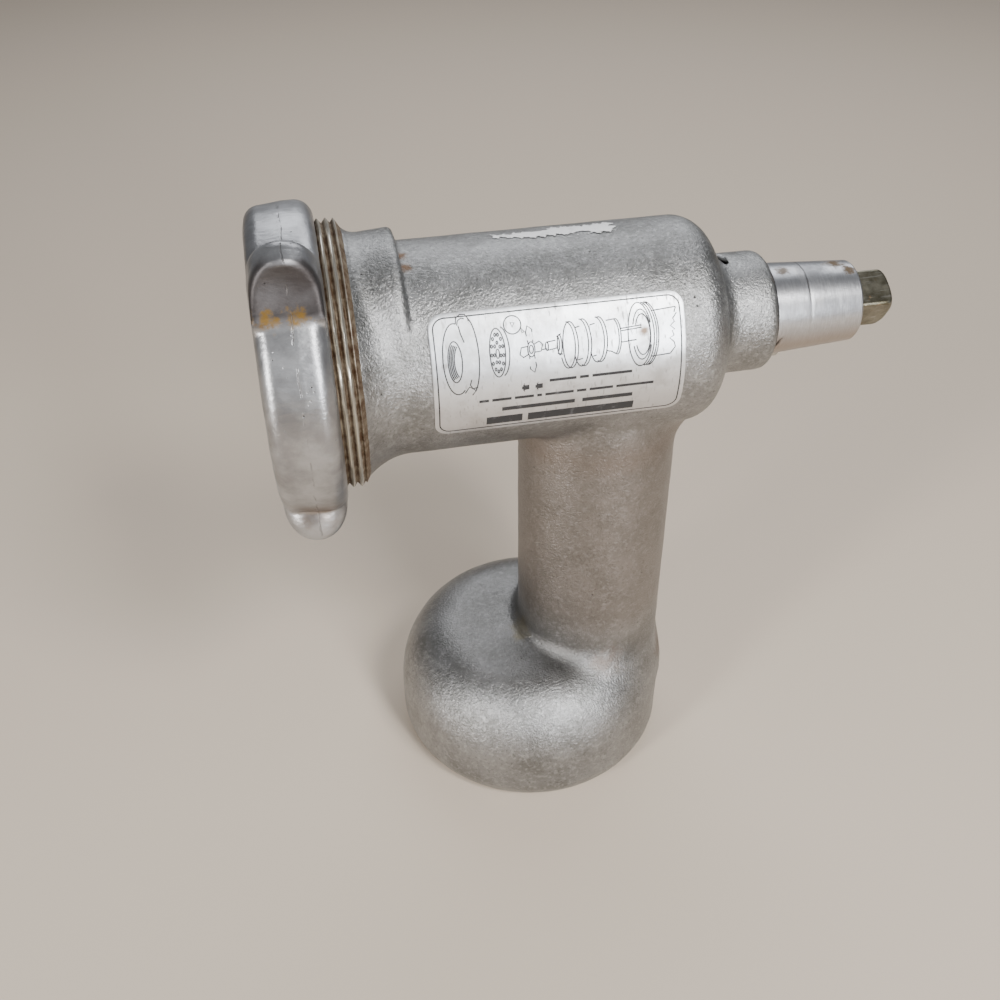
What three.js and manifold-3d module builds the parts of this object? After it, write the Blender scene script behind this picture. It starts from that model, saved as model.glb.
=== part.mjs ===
// A cast food grinder attachment, driven by a square socket, standing on the rim of its own hopper.
// Millimetres, +Z up. The barrel lies along X, with its grinding end at -X and its drive at +X.
// Lengths along X are measured from the feed tube's axis, and the barrel's axis lies above it. At
// the end, the whole group is moved so that the origin is at the middle of the object's base.

import * as THREE from 'three';
import { mergeVertices } from 'three/addons/utils/BufferGeometryUtils.js';
import Module from 'manifold-3d';

const wasm = await Module();
wasm.setup();

// ---------------------------------------------------------------- driving dimensions
const FIT_GAP = 0.3; // between pieces that rest against each other or fit into each other

const AXIS_HEIGHT = 172.3; // barrel axis above the hopper's rim

const BARREL_RADIUS = 33.05;
const BARREL_BORE = 28.5;
const SHOULDER_X = 23.4; // where the barrel starts to round off towards the collar
const SHOULDER_ROUND = 10.6;
const COLLAR_RADIUS = 19.4;
const COLLAR_FILLET = 6.5; // hollow fillet between the shoulder and the collar
const COLLAR_ROUND = 3.7;
const COLLAR_END_X = 53.6;
const REAR_WALL = 5.5; // bulkhead between the worm and the weep chamber

const SPIGOT_ROOT_RADIUS = 15.0; // tapered spigot that fits the drive hub
const SPIGOT_TIP_RADIUS = 13.15;
const SPIGOT_LENGTH = 30.4;
const SPIGOT_CHAMFER = 0.5;

const TUBE_RADIUS = 26.9; // feed tube
const TUBE_WALL = 4.0;

const HOPPER_OFFSET = -22.9; // hopper axis from the feed tube's axis, along X
const HOPPER_RIM_RADIUS = 47.9;
const HOPPER_BELLY_RADIUS = 50.8;
const HOPPER_BELLY_HEIGHT = 7.0;
const HOPPER_HEIGHT = 46.0;
const HOPPER_SHOULDER_WIDTH = 22.0;
const HOPPER_SHOULDER_HEIGHT = 27.0;
const HOPPER_WALL = 3.6;
const TUBE_SINK = 12.0; // how far the feed tube reaches down into the hopper's crown

const THREAD_PITCH = 2.54;
const THREAD_ROOT = 40.0;
const THREAD_CREST = 41.6;
const THREAD_REAR_X = -81.5; // middle of the last ridge
const THREAD_RUN_OUT = 1.2; // length over which the last ridge sinks away
const THREAD_PLAY = 0.5; // radial
const MOUTH_X = -101.2;
const MOUTH_CHAMFER = 0.9;
const FLARE_RADIUS = 20.5; // hollow flare from the barrel up to the thread
const FLARE_TOP_RADIUS = 38.4;

const PAD_HEIGHT = 5.0; // thick patch of the casting behind the thread, above the barrel
const PAD_RADIUS = 30.5;
const PAD_REAR_X = -64.3;
const PAD_FRONT_X = -78.0;
const PAD_ROUND = 1.8;

const PLATE_RADIUS = 34.9;
const PLATE_THICKNESS = 5.5;
const PLATE_INSET = 2.8; // how much of the plate sits inside the mouth
const PLATE_HOLE_RADIUS = 2.4;
const PLATE_HOLE_RINGS = [
  { radius: 11.6, count: 8 },
  { radius: 18.9, count: 14 },
  { radius: 26.3, count: 20 },
];
const KEY_RADIUS = 1.3; // pin that stops the plate from turning
const KEY_DEPTH = 5.0;
const KEY_REACH = 2.4;
const KEY_CIRCLE = 33.1;

const KNIFE_CHAMBER = 31.0;
const KNIFE_CHAMBER_REAR_X = -88.0;
const KNIFE_RADIUS = 29.6;
const KNIFE_THICKNESS = 7.0;
const KNIFE_ARM_WIDTH = 8.6;
const KNIFE_HUB_RADIUS = 9.6;
const KNIFE_ARMS = 4;

const STUD_SQUARE = 9.2;
const STUD_SHANK_RADIUS = 5.6;
const STUD_SHANK_LENGTH = 20.0;
const STUD_JOURNAL_RADIUS = 4.5; // less than half the square, so the knife slides off over it
const STUD_PROUD = 1.3; // beyond the plate's outer face

const WORM_RADIUS = 27.6;
const WORM_CORE_FRONT = 11.5;
const WORM_CORE_REAR = 14.0;
const WORM_TURNS = 3.6;
const WORM_PITCH_FRONT = 23.0;
const WORM_PITCH_REAR = 36.0;
const WORM_FLIGHT_ROOT = 8.0;
const WORM_FLIGHT_CREST = 4.0;

const WASHER_RADIUS = 15.5;
const WASHER_THICKNESS = 1.6;

const DRIVE_SQUARE = 13.6; // across flats
const DRIVE_SQUARE_LENGTH = 13.2; // beyond the spigot
const DRIVE_TIP_CHAMFER = 4.6;
const DRIVE_TIP_RADIUS = 5.4;
const DRIVE_TURN = THREE.MathUtils.degToRad(74.7); // a corner of the square, from +Y towards +Z
const JOURNAL_RADIUS = 9.8; // more than half the square's diagonal, so the shaft can be withdrawn
const WORM_SHANK_SQUARE = 11.0;
const WORM_SHANK_LENGTH = 34.0;
const BUSHING_WALL = 1.2;
const BUSHING_LENGTH = 37.0;
const BUSHING_INSET = 0.6; // behind the spigot's end face
const WEEP_CHAMBER_RADIUS = 14.0;

const WEEP_SLOT_X = 39.0;
const WEEP_SLOT_LENGTH = 5.6; // round the collar
const WEEP_SLOT_WIDTH = 3.0; // along the collar
const WEEP_SLOT_FLOOR = 8.0; // above the barrel's axis, inside the weep chamber

const HUB_PIN_RADIUS = 2.0; // locating pin under the spigot, next to the collar
const HUB_PIN_REACH = 2.6;
const HUB_PIN_DEPTH = 1.7;
const HUB_PIN_X = 60.6;

const RING_RADIUS = 47.6;
const RING_FRONT_X = -107.6;
const RING_REAR_X = -87.0;
const RING_APERTURE = 31.4;
const RING_CROWN_X = -96.0; // the ring tapers from here to its front
const RING_FRONT_RADIUS = 45.7;
const RING_FRONT_ROUND = 6.5;
const RING_REAR_ROUND = 5.4;
const RING_EDGE = 1.2; // chamfer of the aperture
const RING_RELIEF = 3.0; // length without thread behind the lip
const RING_RELIEF_DEPTH = 0.4;
const RING_LEAD_IN = 1.2;
const LUG_COUNT = 3;
const LUG_ANGLE = THREE.MathUtils.degToRad(117.5); // of the upper lug, from +Y towards +Z
const LUG_HALF_WIDTH = 9.9; // along X
const LUG_HALF_THICKNESS = 6.2; // round the ring
const LUG_TIP_RADIUS = 56.8;
const LUG_X = -97.4;
const LUG_ROOT_DEPTH = 2.4; // of the lug's middle, under the ring's surface

const LABEL_FRONT_X = -59.4;
const LABEL_REAR_X = 17.0;
const LABEL_LOW = THREE.MathUtils.degToRad(-23.4); // above the horizontal, on the -Y side
const LABEL_HIGH = THREE.MathUtils.degToRad(45.4);
const LABEL_CORNER = 4.0;
const LABEL_THICKNESS = 0.25;
const LABEL_GAP = 0.2;

const ROUND_SIDES = 36; // facets of a large round surface, and of a turn of the thread
const SMALL_SIDES = 20;

// ---------------------------------------------------------------- derived places
const spigotEndX = COLLAR_END_X + SPIGOT_LENGTH;
const shaftTipX = spigotEndX + DRIVE_SQUARE_LENGTH;
const rearWallX = SHOULDER_X; // inner face of the bulkhead
const weepChamberX = rearWallX + REAR_WALL;
const journalHole = JOURNAL_RADIUS + FIT_GAP;
const bushingOuter = journalHole + BUSHING_WALL;
const bushingRearX = spigotEndX - BUSHING_INSET;
const bushingFrontX = bushingRearX - BUSHING_LENGTH;
const plateRearX = MOUTH_X + PLATE_INSET;
const plateFrontX = plateRearX - PLATE_THICKNESS;
const plateSeatX = plateRearX + FIT_GAP;
const ringLipX = plateFrontX - FIT_GAP;
const knifeFrontX = plateRearX + FIT_GAP;
const knifeRearX = knifeFrontX + KNIFE_THICKNESS;
const wormFrontX = knifeRearX + FIT_GAP;
const washerRearX = rearWallX - FIT_GAP;
const washerFrontX = washerRearX - WASHER_THICKNESS;
const wormRearX = washerFrontX - FIT_GAP;
const tubeBore = TUBE_RADIUS - TUBE_WALL;

// ---------------------------------------------------------------- helpers
const pointOnArc = (x, y, radius, angle) => [x + radius * Math.cos(angle), y + radius * Math.sin(angle)];

/** Points of an arc from one angle to another, in radians, both ends included. */
function arc(x, y, radius, from, to, steps) {
  const points = [];
  for (let i = 0; i <= steps; i += 1) {
    points.push(pointOnArc(x, y, radius, from + ((to - from) * i) / steps));
  }
  return points;
}

/** A closed geometry as a manifold solid, whichever way round its triangles came. */
function toSolid(geometry) {
  const bare = geometry.clone();
  bare.deleteAttribute('normal');
  bare.deleteAttribute('uv');
  const merged = mergeVertices(bare, 1e-4);
  const position = merged.getAttribute('position');
  const index = merged.getIndex().array;
  const corner = (i) => new THREE.Vector3().fromBufferAttribute(position, i);
  const triangles = [];
  let volume = 0;
  for (let i = 0; i < index.length; i += 3) {
    const [a, b, c] = [index[i], index[i + 1], index[i + 2]];
    if (a !== b && b !== c && c !== a) {
      triangles.push([a, b, c]);
      volume += corner(a).dot(corner(b).cross(corner(c)));
    }
  }
  const outward = triangles.map(([a, b, c]) => (volume < 0 ? [a, c, b] : [a, b, c]));
  return new wasm.Manifold(
    new wasm.Mesh({
      numProp: 3,
      vertProperties: new Float32Array(position.array),
      triVerts: new Uint32Array(outward.flat()),
    }),
  );
}

/** A manifold solid as a three.js geometry. */
function toGeometry(solid) {
  const mesh = solid.getMesh();
  const geometry = new THREE.BufferGeometry();
  geometry.setAttribute('position', new THREE.Float32BufferAttribute(mesh.vertProperties, 3));
  geometry.setIndex(new THREE.Uint32BufferAttribute(mesh.triVerts, 1));
  geometry.computeVertexNormals();
  return geometry;
}

/** Revolves [along, radius] points about X. The profile closes on itself or on the axis. */
function turned(points, sides = ROUND_SIDES) {
  const profile = points.map(([along, radius]) => new THREE.Vector2(Math.max(radius, 0), along));
  if (profile[0].x > 0) {
    profile.push(profile[0].clone());
  }
  const geometry = new THREE.LatheGeometry(profile, sides);
  geometry.rotateZ(-Math.PI / 2);
  return toSolid(geometry);
}

/** The same about Z. */
function turnedUpright(points, sides = ROUND_SIDES) {
  const profile = points.map(([along, radius]) => new THREE.Vector2(Math.max(radius, 0), along));
  if (profile[0].x > 0) {
    profile.push(profile[0].clone());
  }
  const geometry = new THREE.LatheGeometry(profile, sides);
  geometry.rotateX(Math.PI / 2);
  return toSolid(geometry);
}

/** A plain cylinder about X, between two places. */
function rod(fromX, toX, radius, sides = ROUND_SIDES) {
  return turned([[fromX, 0], [fromX, radius], [toX, radius], [toX, 0]], sides);
}

/** A square bar along X, with a corner at the given angle from +Y towards +Z. */
function squareBar(fromX, toX, side, turn) {
  const geometry = new THREE.BoxGeometry(toX - fromX, side, side);
  geometry.translate((fromX + toX) / 2, 0, 0);
  geometry.rotateX(turn - Math.PI / 4);
  return toSolid(geometry);
}

/** Extrudes a shape drawn in (y, z) from one place along X to another. */
function extrudedAlongX(shape, fromX, toX, curveSegments) {
  const geometry = new THREE.ExtrudeGeometry(shape, {
    depth: toX - fromX,
    bevelEnabled: false,
    curveSegments,
  });
  // The shape's own x, y and depth become Y, Z and X.
  geometry.applyMatrix4(new THREE.Matrix4().makeBasis(
    new THREE.Vector3(0, 1, 0),
    new THREE.Vector3(0, 0, 1),
    new THREE.Vector3(1, 0, 0),
  ));
  geometry.translate(fromX, 0, 0);
  return toSolid(geometry);
}

/**
 * A ridge that winds about X. section(turn) gives its closed [along, radius] outline at each turn,
 * and angle(turn) where that outline stands, from +Y towards +Z.
 */
function windingRidge(section, angle, firstTurn, lastTurn, sides) {
  const steps = Math.round((lastTurn - firstTurn) * sides);
  const positions = [];
  const index = [];
  let corners = 0;
  for (let i = 0; i <= steps; i += 1) {
    const turn = firstTurn + ((lastTurn - firstTurn) * i) / steps;
    const outline = section(turn);
    corners = outline.length;
    for (const [along, radius] of outline) {
      positions.push(along, radius * Math.cos(angle(turn)), radius * Math.sin(angle(turn)));
    }
  }
  for (let i = 0; i < steps; i += 1) {
    for (let j = 0; j < corners; j += 1) {
      const a = i * corners + j;
      const b = i * corners + ((j + 1) % corners);
      index.push(a, b, b + corners, a, b + corners, a + corners);
    }
  }
  const end = steps * corners;
  for (let j = 1; j < corners - 1; j += 1) {
    index.push(0, j + 1, j, end, end + j, end + j + 1);
  }
  const geometry = new THREE.BufferGeometry();
  geometry.setAttribute('position', new THREE.Float32BufferAttribute(positions, 3));
  geometry.setIndex(index);
  return toSolid(geometry);
}

/**
 * A threaded rod about X. play widens it all round, for cutting the nut. The thread sinks away
 * towards fadeX, or keeps its depth if none is given.
 */
function threadedRod(fromX, toX, play, fadeX = Infinity) {
  const first = Math.floor((fromX - THREAD_REAR_X) / THREAD_PITCH) - 1.5;
  const last = Math.ceil((toX - THREAD_REAR_X) / THREAD_PITCH) + 1.5;
  const steps = (last - first) * ROUND_SIDES;
  const positions = [];
  const index = [];
  const root = THREAD_ROOT + play;
  for (let i = 0; i <= steps; i += 1) {
    const turn = first + i / ROUND_SIDES;
    const angle = turn * 2 * Math.PI;
    const middle = THREAD_REAR_X + turn * THREAD_PITCH;
    const left = THREE.MathUtils.clamp((fadeX - middle) / THREAD_RUN_OUT, 0.02, 1);
    const depth = (THREAD_CREST - THREAD_ROOT) * left;
    const outline = [
      [middle - THREAD_PITCH / 2, root],
      [middle, root + depth],
      [middle + THREAD_PITCH / 2, root],
    ];
    for (const [along, radius] of outline) {
      positions.push(along, radius * Math.cos(angle), radius * Math.sin(angle));
    }
  }
  const corners = 3;
  for (let i = 0; i < steps; i += 1) {
    for (let j = 0; j < corners - 1; j += 1) {
      const a = i * corners + j;
      index.push(a, a + 1, a + 1 + corners, a, a + 1 + corners, a + corners);
    }
  }
  // Each end is closed by a fan from the axis to the open edge of the last turn.
  const lowCentre = positions.length / 3;
  positions.push(THREAD_REAR_X + (first + 0.5) * THREAD_PITCH - THREAD_PITCH / 2, 0, 0);
  positions.push(THREAD_REAR_X + (last - 0.5) * THREAD_PITCH + THREAD_PITCH / 2, 0, 0);
  for (let i = 0; i < ROUND_SIDES; i += 1) {
    const low = i * corners;
    const high = (steps - i) * corners + corners - 1;
    index.push(lowCentre, low, low + corners, lowCentre + 1, high, high - corners);
  }
  for (let j = 0; j < corners - 1; j += 1) {
    index.push(lowCentre, j + 1, j, lowCentre + 1, steps * corners + j, steps * corners + j + 1);
  }
  const geometry = new THREE.BufferGeometry();
  geometry.setAttribute('position', new THREE.Float32BufferAttribute(positions, 3));
  geometry.setIndex(index);
  return toSolid(geometry).intersect(turned([
    [fromX, 0],
    [fromX, THREAD_ROOT - MOUTH_CHAMFER + play],
    [fromX + MOUTH_CHAMFER + THREAD_CREST - THREAD_ROOT, THREAD_CREST + play],
    [toX, THREAD_CREST + play],
    [toX, 0],
  ], ROUND_SIDES));
}

/** A box with one pair of edges rounded, used as the cutter of the weep slot. */
function slotCutter(length, width, depth) {
  const shape = new THREE.Shape();
  const half = (length - width) / 2;
  shape.moveTo(-width / 2, -half);
  shape.absarc(0, -half, width / 2, Math.PI, 2 * Math.PI, false);
  shape.lineTo(width / 2, half);
  shape.absarc(0, half, width / 2, 0, Math.PI, false);
  shape.closePath();
  const geometry = new THREE.ExtrudeGeometry(shape, { depth, bevelEnabled: false, curveSegments: 6 });
  return geometry;
}

// ---------------------------------------------------------------- the main casting
/** Outline of the barrel, its shoulder, collar and spigot. */
function castingProfile() {
  const flareRise = Math.max(FLARE_TOP_RADIUS - BARREL_RADIUS, 0.1);
  const flareX = Math.sqrt(FLARE_RADIUS ** 2 - (FLARE_RADIUS - flareRise) ** 2);
  const flareStartX = THREAD_REAR_X + THREAD_PITCH / 2 + 0.8;
  const flareEndX = flareStartX + flareX;
  const flareFrom = Math.PI + Math.acos(flareX / FLARE_RADIUS);
  const shoulderR = BARREL_RADIUS - SHOULDER_ROUND;
  // The shoulder's arc and the collar's fillet meet where their slopes agree.
  const filletR = COLLAR_RADIUS + COLLAR_FILLET;
  const meeting = Math.asin((filletR - shoulderR) / (SHOULDER_ROUND + COLLAR_FILLET));
  const filletX = SHOULDER_X + (SHOULDER_ROUND + COLLAR_FILLET) * Math.cos(meeting);
  return [
    [KNIFE_CHAMBER_REAR_X, 0],
    [KNIFE_CHAMBER_REAR_X, BARREL_RADIUS],
    [flareStartX, BARREL_RADIUS],
    ...arc(flareEndX, BARREL_RADIUS + FLARE_RADIUS, FLARE_RADIUS, flareFrom, 1.5 * Math.PI, 5),
    ...arc(SHOULDER_X, shoulderR, SHOULDER_ROUND, Math.PI / 2, meeting, 7),
    ...arc(filletX, filletR, COLLAR_FILLET, Math.PI + meeting, 1.5 * Math.PI, 4),
    ...arc(
      COLLAR_END_X - COLLAR_ROUND, COLLAR_RADIUS - COLLAR_ROUND, COLLAR_ROUND, Math.PI / 2, 0.05, 4,
    ),
    [COLLAR_END_X, SPIGOT_ROOT_RADIUS],
    [spigotEndX - SPIGOT_CHAMFER, SPIGOT_TIP_RADIUS],
    [spigotEndX, SPIGOT_TIP_RADIUS - SPIGOT_CHAMFER],
    [spigotEndX, 0],
  ];
}

/** Outline of the hopper, or of the space in it when its wall is taken off. */
function hopperProfile(wall, lowest) {
  const belly = HOPPER_BELLY_RADIUS - wall;
  const top = HOPPER_HEIGHT - wall;
  const shoulderX = belly - HOPPER_SHOULDER_WIDTH;
  const shoulderZ = top - HOPPER_SHOULDER_HEIGHT;
  const profile = [[lowest, 0], [lowest, HOPPER_RIM_RADIUS - wall]];
  for (let i = lowest < 0 ? 0 : 1; i <= 3; i += 1) {
    const rise = Math.sin((i / 3) * (Math.PI / 2));
    const swell = (HOPPER_BELLY_RADIUS - HOPPER_RIM_RADIUS) * rise;
    profile.push([(HOPPER_BELLY_HEIGHT * i) / 3, HOPPER_RIM_RADIUS - wall + swell]);
  }
  for (let i = 0; i <= 7; i += 1) {
    const angle = (i / 7) * (Math.PI / 2);
    profile.push([
      shoulderZ + HOPPER_SHOULDER_HEIGHT * Math.sin(angle),
      shoulderX + HOPPER_SHOULDER_WIDTH * Math.cos(angle),
    ]);
  }
  profile.push([top, 0]);
  return profile;
}

/** Thick patch on the barrel behind the thread, an arc of a smaller, higher circle. */
function padSolid() {
  const rise = BARREL_RADIUS + PAD_HEIGHT - PAD_RADIUS;
  return turned([
    [PAD_FRONT_X, 0],
    [PAD_FRONT_X, PAD_RADIUS - PAD_ROUND],
    ...arc(PAD_REAR_X - PAD_ROUND, PAD_RADIUS - PAD_ROUND, PAD_ROUND, Math.PI / 2, 0, 3),
    [PAD_REAR_X, 0],
  ]).translate([0, 0, rise + AXIS_HEIGHT]);
}

function weepSlot() {
  const geometry = slotCutter(WEEP_SLOT_LENGTH, WEEP_SLOT_WIDTH, COLLAR_RADIUS);
  geometry.translate(WEEP_SLOT_X, 0, AXIS_HEIGHT + WEEP_SLOT_FLOOR);
  return toSolid(geometry);
}

function grinderBody() {
  const threadEndX = THREAD_REAR_X + THREAD_PITCH / 2 + 1.2; // just inside the flare
  const up = (solid) => solid.translate([0, 0, AXIS_HEIGHT]);
  const outside = up(turned(castingProfile()))
    .add(up(threadedRod(MOUTH_X, threadEndX, 0, threadEndX)))
    .add(padSolid())
    .add(turnedUpright([[HOPPER_HEIGHT - TUBE_SINK, 0], [HOPPER_HEIGHT - TUBE_SINK, TUBE_RADIUS],
      [AXIS_HEIGHT, TUBE_RADIUS], [AXIS_HEIGHT, 0]]))
    .add(turnedUpright(hopperProfile(0, 0)).translate([HOPPER_OFFSET, 0, 0]));
  const bore = up(turned([
    [MOUTH_X - 1, 0],
    [MOUTH_X - 1, PLATE_RADIUS + FIT_GAP],
    [plateSeatX, PLATE_RADIUS + FIT_GAP],
    [plateSeatX, KNIFE_CHAMBER],
    [KNIFE_CHAMBER_REAR_X, KNIFE_CHAMBER],
    [KNIFE_CHAMBER_REAR_X + KNIFE_CHAMBER - BARREL_BORE, BARREL_BORE],
    [rearWallX, BARREL_BORE],
    [rearWallX, journalHole],
    [weepChamberX, journalHole],
    [weepChamberX, WEEP_CHAMBER_RADIUS],
    [bushingFrontX - FIT_GAP, WEEP_CHAMBER_RADIUS],
    [bushingFrontX - FIT_GAP, bushingOuter + FIT_GAP],
    [spigotEndX + 1, bushingOuter + FIT_GAP],
    [spigotEndX + 1, 0],
  ]));
  const feedBoreZ = HOPPER_HEIGHT - HOPPER_WALL - TUBE_SINK - 2;
  const feedBore = turnedUpright([
    [feedBoreZ, 0],
    [feedBoreZ, tubeBore],
    [AXIS_HEIGHT, tubeBore],
    [AXIS_HEIGHT, 0],
  ]);
  const dish = turnedUpright(hopperProfile(HOPPER_WALL, -1)).translate([HOPPER_OFFSET, 0, 0]);
  const keyHole = rod(plateSeatX - 1, plateSeatX + KEY_DEPTH + FIT_GAP, KEY_RADIUS + FIT_GAP, 12)
    .translate([0, 0, AXIS_HEIGHT + KEY_CIRCLE]);
  const pinHole = turnedUpright([
    [-SPIGOT_ROOT_RADIUS - 1, 0],
    [-SPIGOT_ROOT_RADIUS - 1, HUB_PIN_RADIUS + FIT_GAP],
    [-SPIGOT_ROOT_RADIUS + HUB_PIN_DEPTH + FIT_GAP, HUB_PIN_RADIUS + FIT_GAP],
    [-SPIGOT_ROOT_RADIUS + HUB_PIN_DEPTH + FIT_GAP, 0],
  ], 12).translate([HUB_PIN_X, 0, AXIS_HEIGHT]);
  return outside
    .subtract(bore)
    .subtract(feedBore)
    .subtract(dish)
    .subtract(weepSlot())
    .subtract(keyHole)
    .subtract(pinHole);
}

// ---------------------------------------------------------------- the front end
function ringNut() {
  const boreRadius = THREAD_ROOT + THREAD_PLAY;
  const relief = THREAD_CREST + THREAD_PLAY + RING_RELIEF_DEPTH;
  const blankBore = boreRadius - 3; // opened by the tap below
  const ring = turned([
    [RING_FRONT_X + RING_EDGE, RING_APERTURE],
    [ringLipX, RING_APERTURE],
    [ringLipX, relief],
    [ringLipX + RING_RELIEF, relief],
    [ringLipX + RING_RELIEF, blankBore],
    [RING_REAR_X, blankBore],
    ...arc(RING_REAR_X - RING_REAR_ROUND, RING_RADIUS - RING_REAR_ROUND, RING_REAR_ROUND,
      0.1, Math.PI / 2, 4),
    [RING_CROWN_X, RING_RADIUS],
    ...arc(RING_FRONT_X + RING_FRONT_ROUND, RING_FRONT_RADIUS - RING_FRONT_ROUND, RING_FRONT_ROUND,
      1.3, Math.PI, 5),
    [RING_FRONT_X, RING_APERTURE + RING_EDGE],
  ]);
  const lug = new THREE.SphereGeometry(1, 16, 10);
  const lugCentre = RING_RADIUS - LUG_ROOT_DEPTH;
  lug.scale(LUG_HALF_WIDTH, LUG_TIP_RADIUS - lugCentre, LUG_HALF_THICKNESS);
  lug.translate(LUG_X, lugCentre, 0);
  lug.rotateX(LUG_ANGLE);
  const cavity = rod(ringLipX, RING_REAR_X + 1, relief + 0.5);
  const tap = threadedRod(ringLipX + RING_RELIEF - 1, RING_REAR_X + 1, THREAD_PLAY);
  const leadIn = turned([
    [RING_REAR_X - RING_LEAD_IN, blankBore],
    [RING_REAR_X - RING_LEAD_IN, boreRadius],
    [RING_REAR_X + 1, boreRadius + RING_LEAD_IN + 1],
    [RING_REAR_X + 1, blankBore],
  ]);
  let nut = ring;
  for (let i = 0; i < LUG_COUNT; i += 1) {
    nut = nut.add(toSolid(lug).subtract(cavity));
    lug.rotateX((2 * Math.PI) / LUG_COUNT);
  }
  return nut
    .subtract(tap)
    .subtract(leadIn)
    .translate([0, 0, AXIS_HEIGHT]);
}

function grindingPlate() {
  const shape = new THREE.Shape();
  const notchHalf = KEY_RADIUS + FIT_GAP + 0.15;
  const notchFloor = KEY_CIRCLE - KEY_RADIUS - FIT_GAP - 0.15;
  const notchAngle = Math.asin(notchHalf / PLATE_RADIUS);
  shape.absarc(0, 0, PLATE_RADIUS, Math.PI / 2 + notchAngle, Math.PI / 2 - notchAngle + 2 * Math.PI, false);
  shape.lineTo(notchHalf, notchFloor);
  shape.lineTo(-notchHalf, notchFloor);
  shape.closePath();
  const solid = extrudedAlongX(shape, plateFrontX, plateRearX, 48);
  let holes = rod(plateFrontX - 1, plateRearX + 1, STUD_JOURNAL_RADIUS + 2 * FIT_GAP, SMALL_SIDES);
  for (const { radius, count } of PLATE_HOLE_RINGS) {
    for (let i = 0; i < count; i += 1) {
      const angle = ((i + 0.5) / count) * 2 * Math.PI + Math.PI / 2;
      const hole = rod(plateFrontX - 1, plateRearX + 1, PLATE_HOLE_RADIUS, 8);
      holes = holes.add(hole.translate([0, radius * Math.cos(angle), radius * Math.sin(angle)]));
    }
  }
  return solid.subtract(holes).translate([0, 0, AXIS_HEIGHT]);
}

function plateKey() {
  return rod(plateSeatX - KEY_REACH, plateSeatX + KEY_DEPTH, KEY_RADIUS, 12)
    .translate([0, 0, AXIS_HEIGHT + KEY_CIRCLE]);
}

function cutterKnife() {
  const shape = new THREE.Shape();
  const half = KNIFE_ARM_WIDTH / 2;
  const tipAngle = Math.asin(half / KNIFE_RADIUS);
  const rootAngle = Math.asin(half / KNIFE_HUB_RADIUS);
  for (let i = 0; i < KNIFE_ARMS; i += 1) {
    const middle = (i * 2 * Math.PI) / KNIFE_ARMS;
    const next = middle + (2 * Math.PI) / KNIFE_ARMS;
    const corners = [
      pointOnArc(0, 0, KNIFE_HUB_RADIUS, middle - rootAngle),
      pointOnArc(0, 0, KNIFE_RADIUS, middle - tipAngle * 1.25),
      pointOnArc(0, 0, KNIFE_RADIUS, middle + tipAngle * 0.75),
      pointOnArc(0, 0, KNIFE_HUB_RADIUS, middle + rootAngle),
    ];
    corners.forEach(([y, z], j) => {
      if (i === 0 && j === 0) {
        shape.moveTo(y, z);
      } else {
        shape.lineTo(y, z);
      }
    });
    shape.absarc(0, 0, KNIFE_HUB_RADIUS, middle + rootAngle, next - rootAngle, false);
  }
  const blank = extrudedAlongX(shape, knifeFrontX, knifeRearX, 3);
  // Behind the cutting faces, each arm thins from the hub to the tip.
  const relief = turned([
    [knifeRearX + 1, KNIFE_HUB_RADIUS + 1],
    [knifeRearX + 1, KNIFE_RADIUS + 5],
    [knifeFrontX + 2.6, KNIFE_RADIUS + 5],
    [knifeFrontX + 3.6, KNIFE_HUB_RADIUS + 4],
    [knifeRearX - 0.5, KNIFE_HUB_RADIUS + 1],
  ]);
  return blank
    .subtract(relief)
    .subtract(squareBar(knifeFrontX - 1, knifeRearX + 1, STUD_SQUARE + 2 * FIT_GAP, 0))
    .translate([0, 0, AXIS_HEIGHT]);
}

function knifeStud() {
  const journal = turned([
    [plateFrontX - STUD_PROUD, 0],
    [plateFrontX - STUD_PROUD, STUD_JOURNAL_RADIUS - 0.8],
    [plateFrontX - STUD_PROUD + 0.8, STUD_JOURNAL_RADIUS],
    [wormFrontX + 1, STUD_JOURNAL_RADIUS],
    [wormFrontX + 1, 0],
  ], SMALL_SIDES);
  const squareEndX = knifeRearX + FIT_GAP / 2;
  const shank = rod(squareEndX, wormFrontX + STUD_SHANK_LENGTH, STUD_SHANK_RADIUS, SMALL_SIDES);
  return squareBar(knifeFrontX, squareEndX, STUD_SQUARE, 0)
    .add(journal)
    .add(shank)
    .translate([0, 0, AXIS_HEIGHT]);
}

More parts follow.
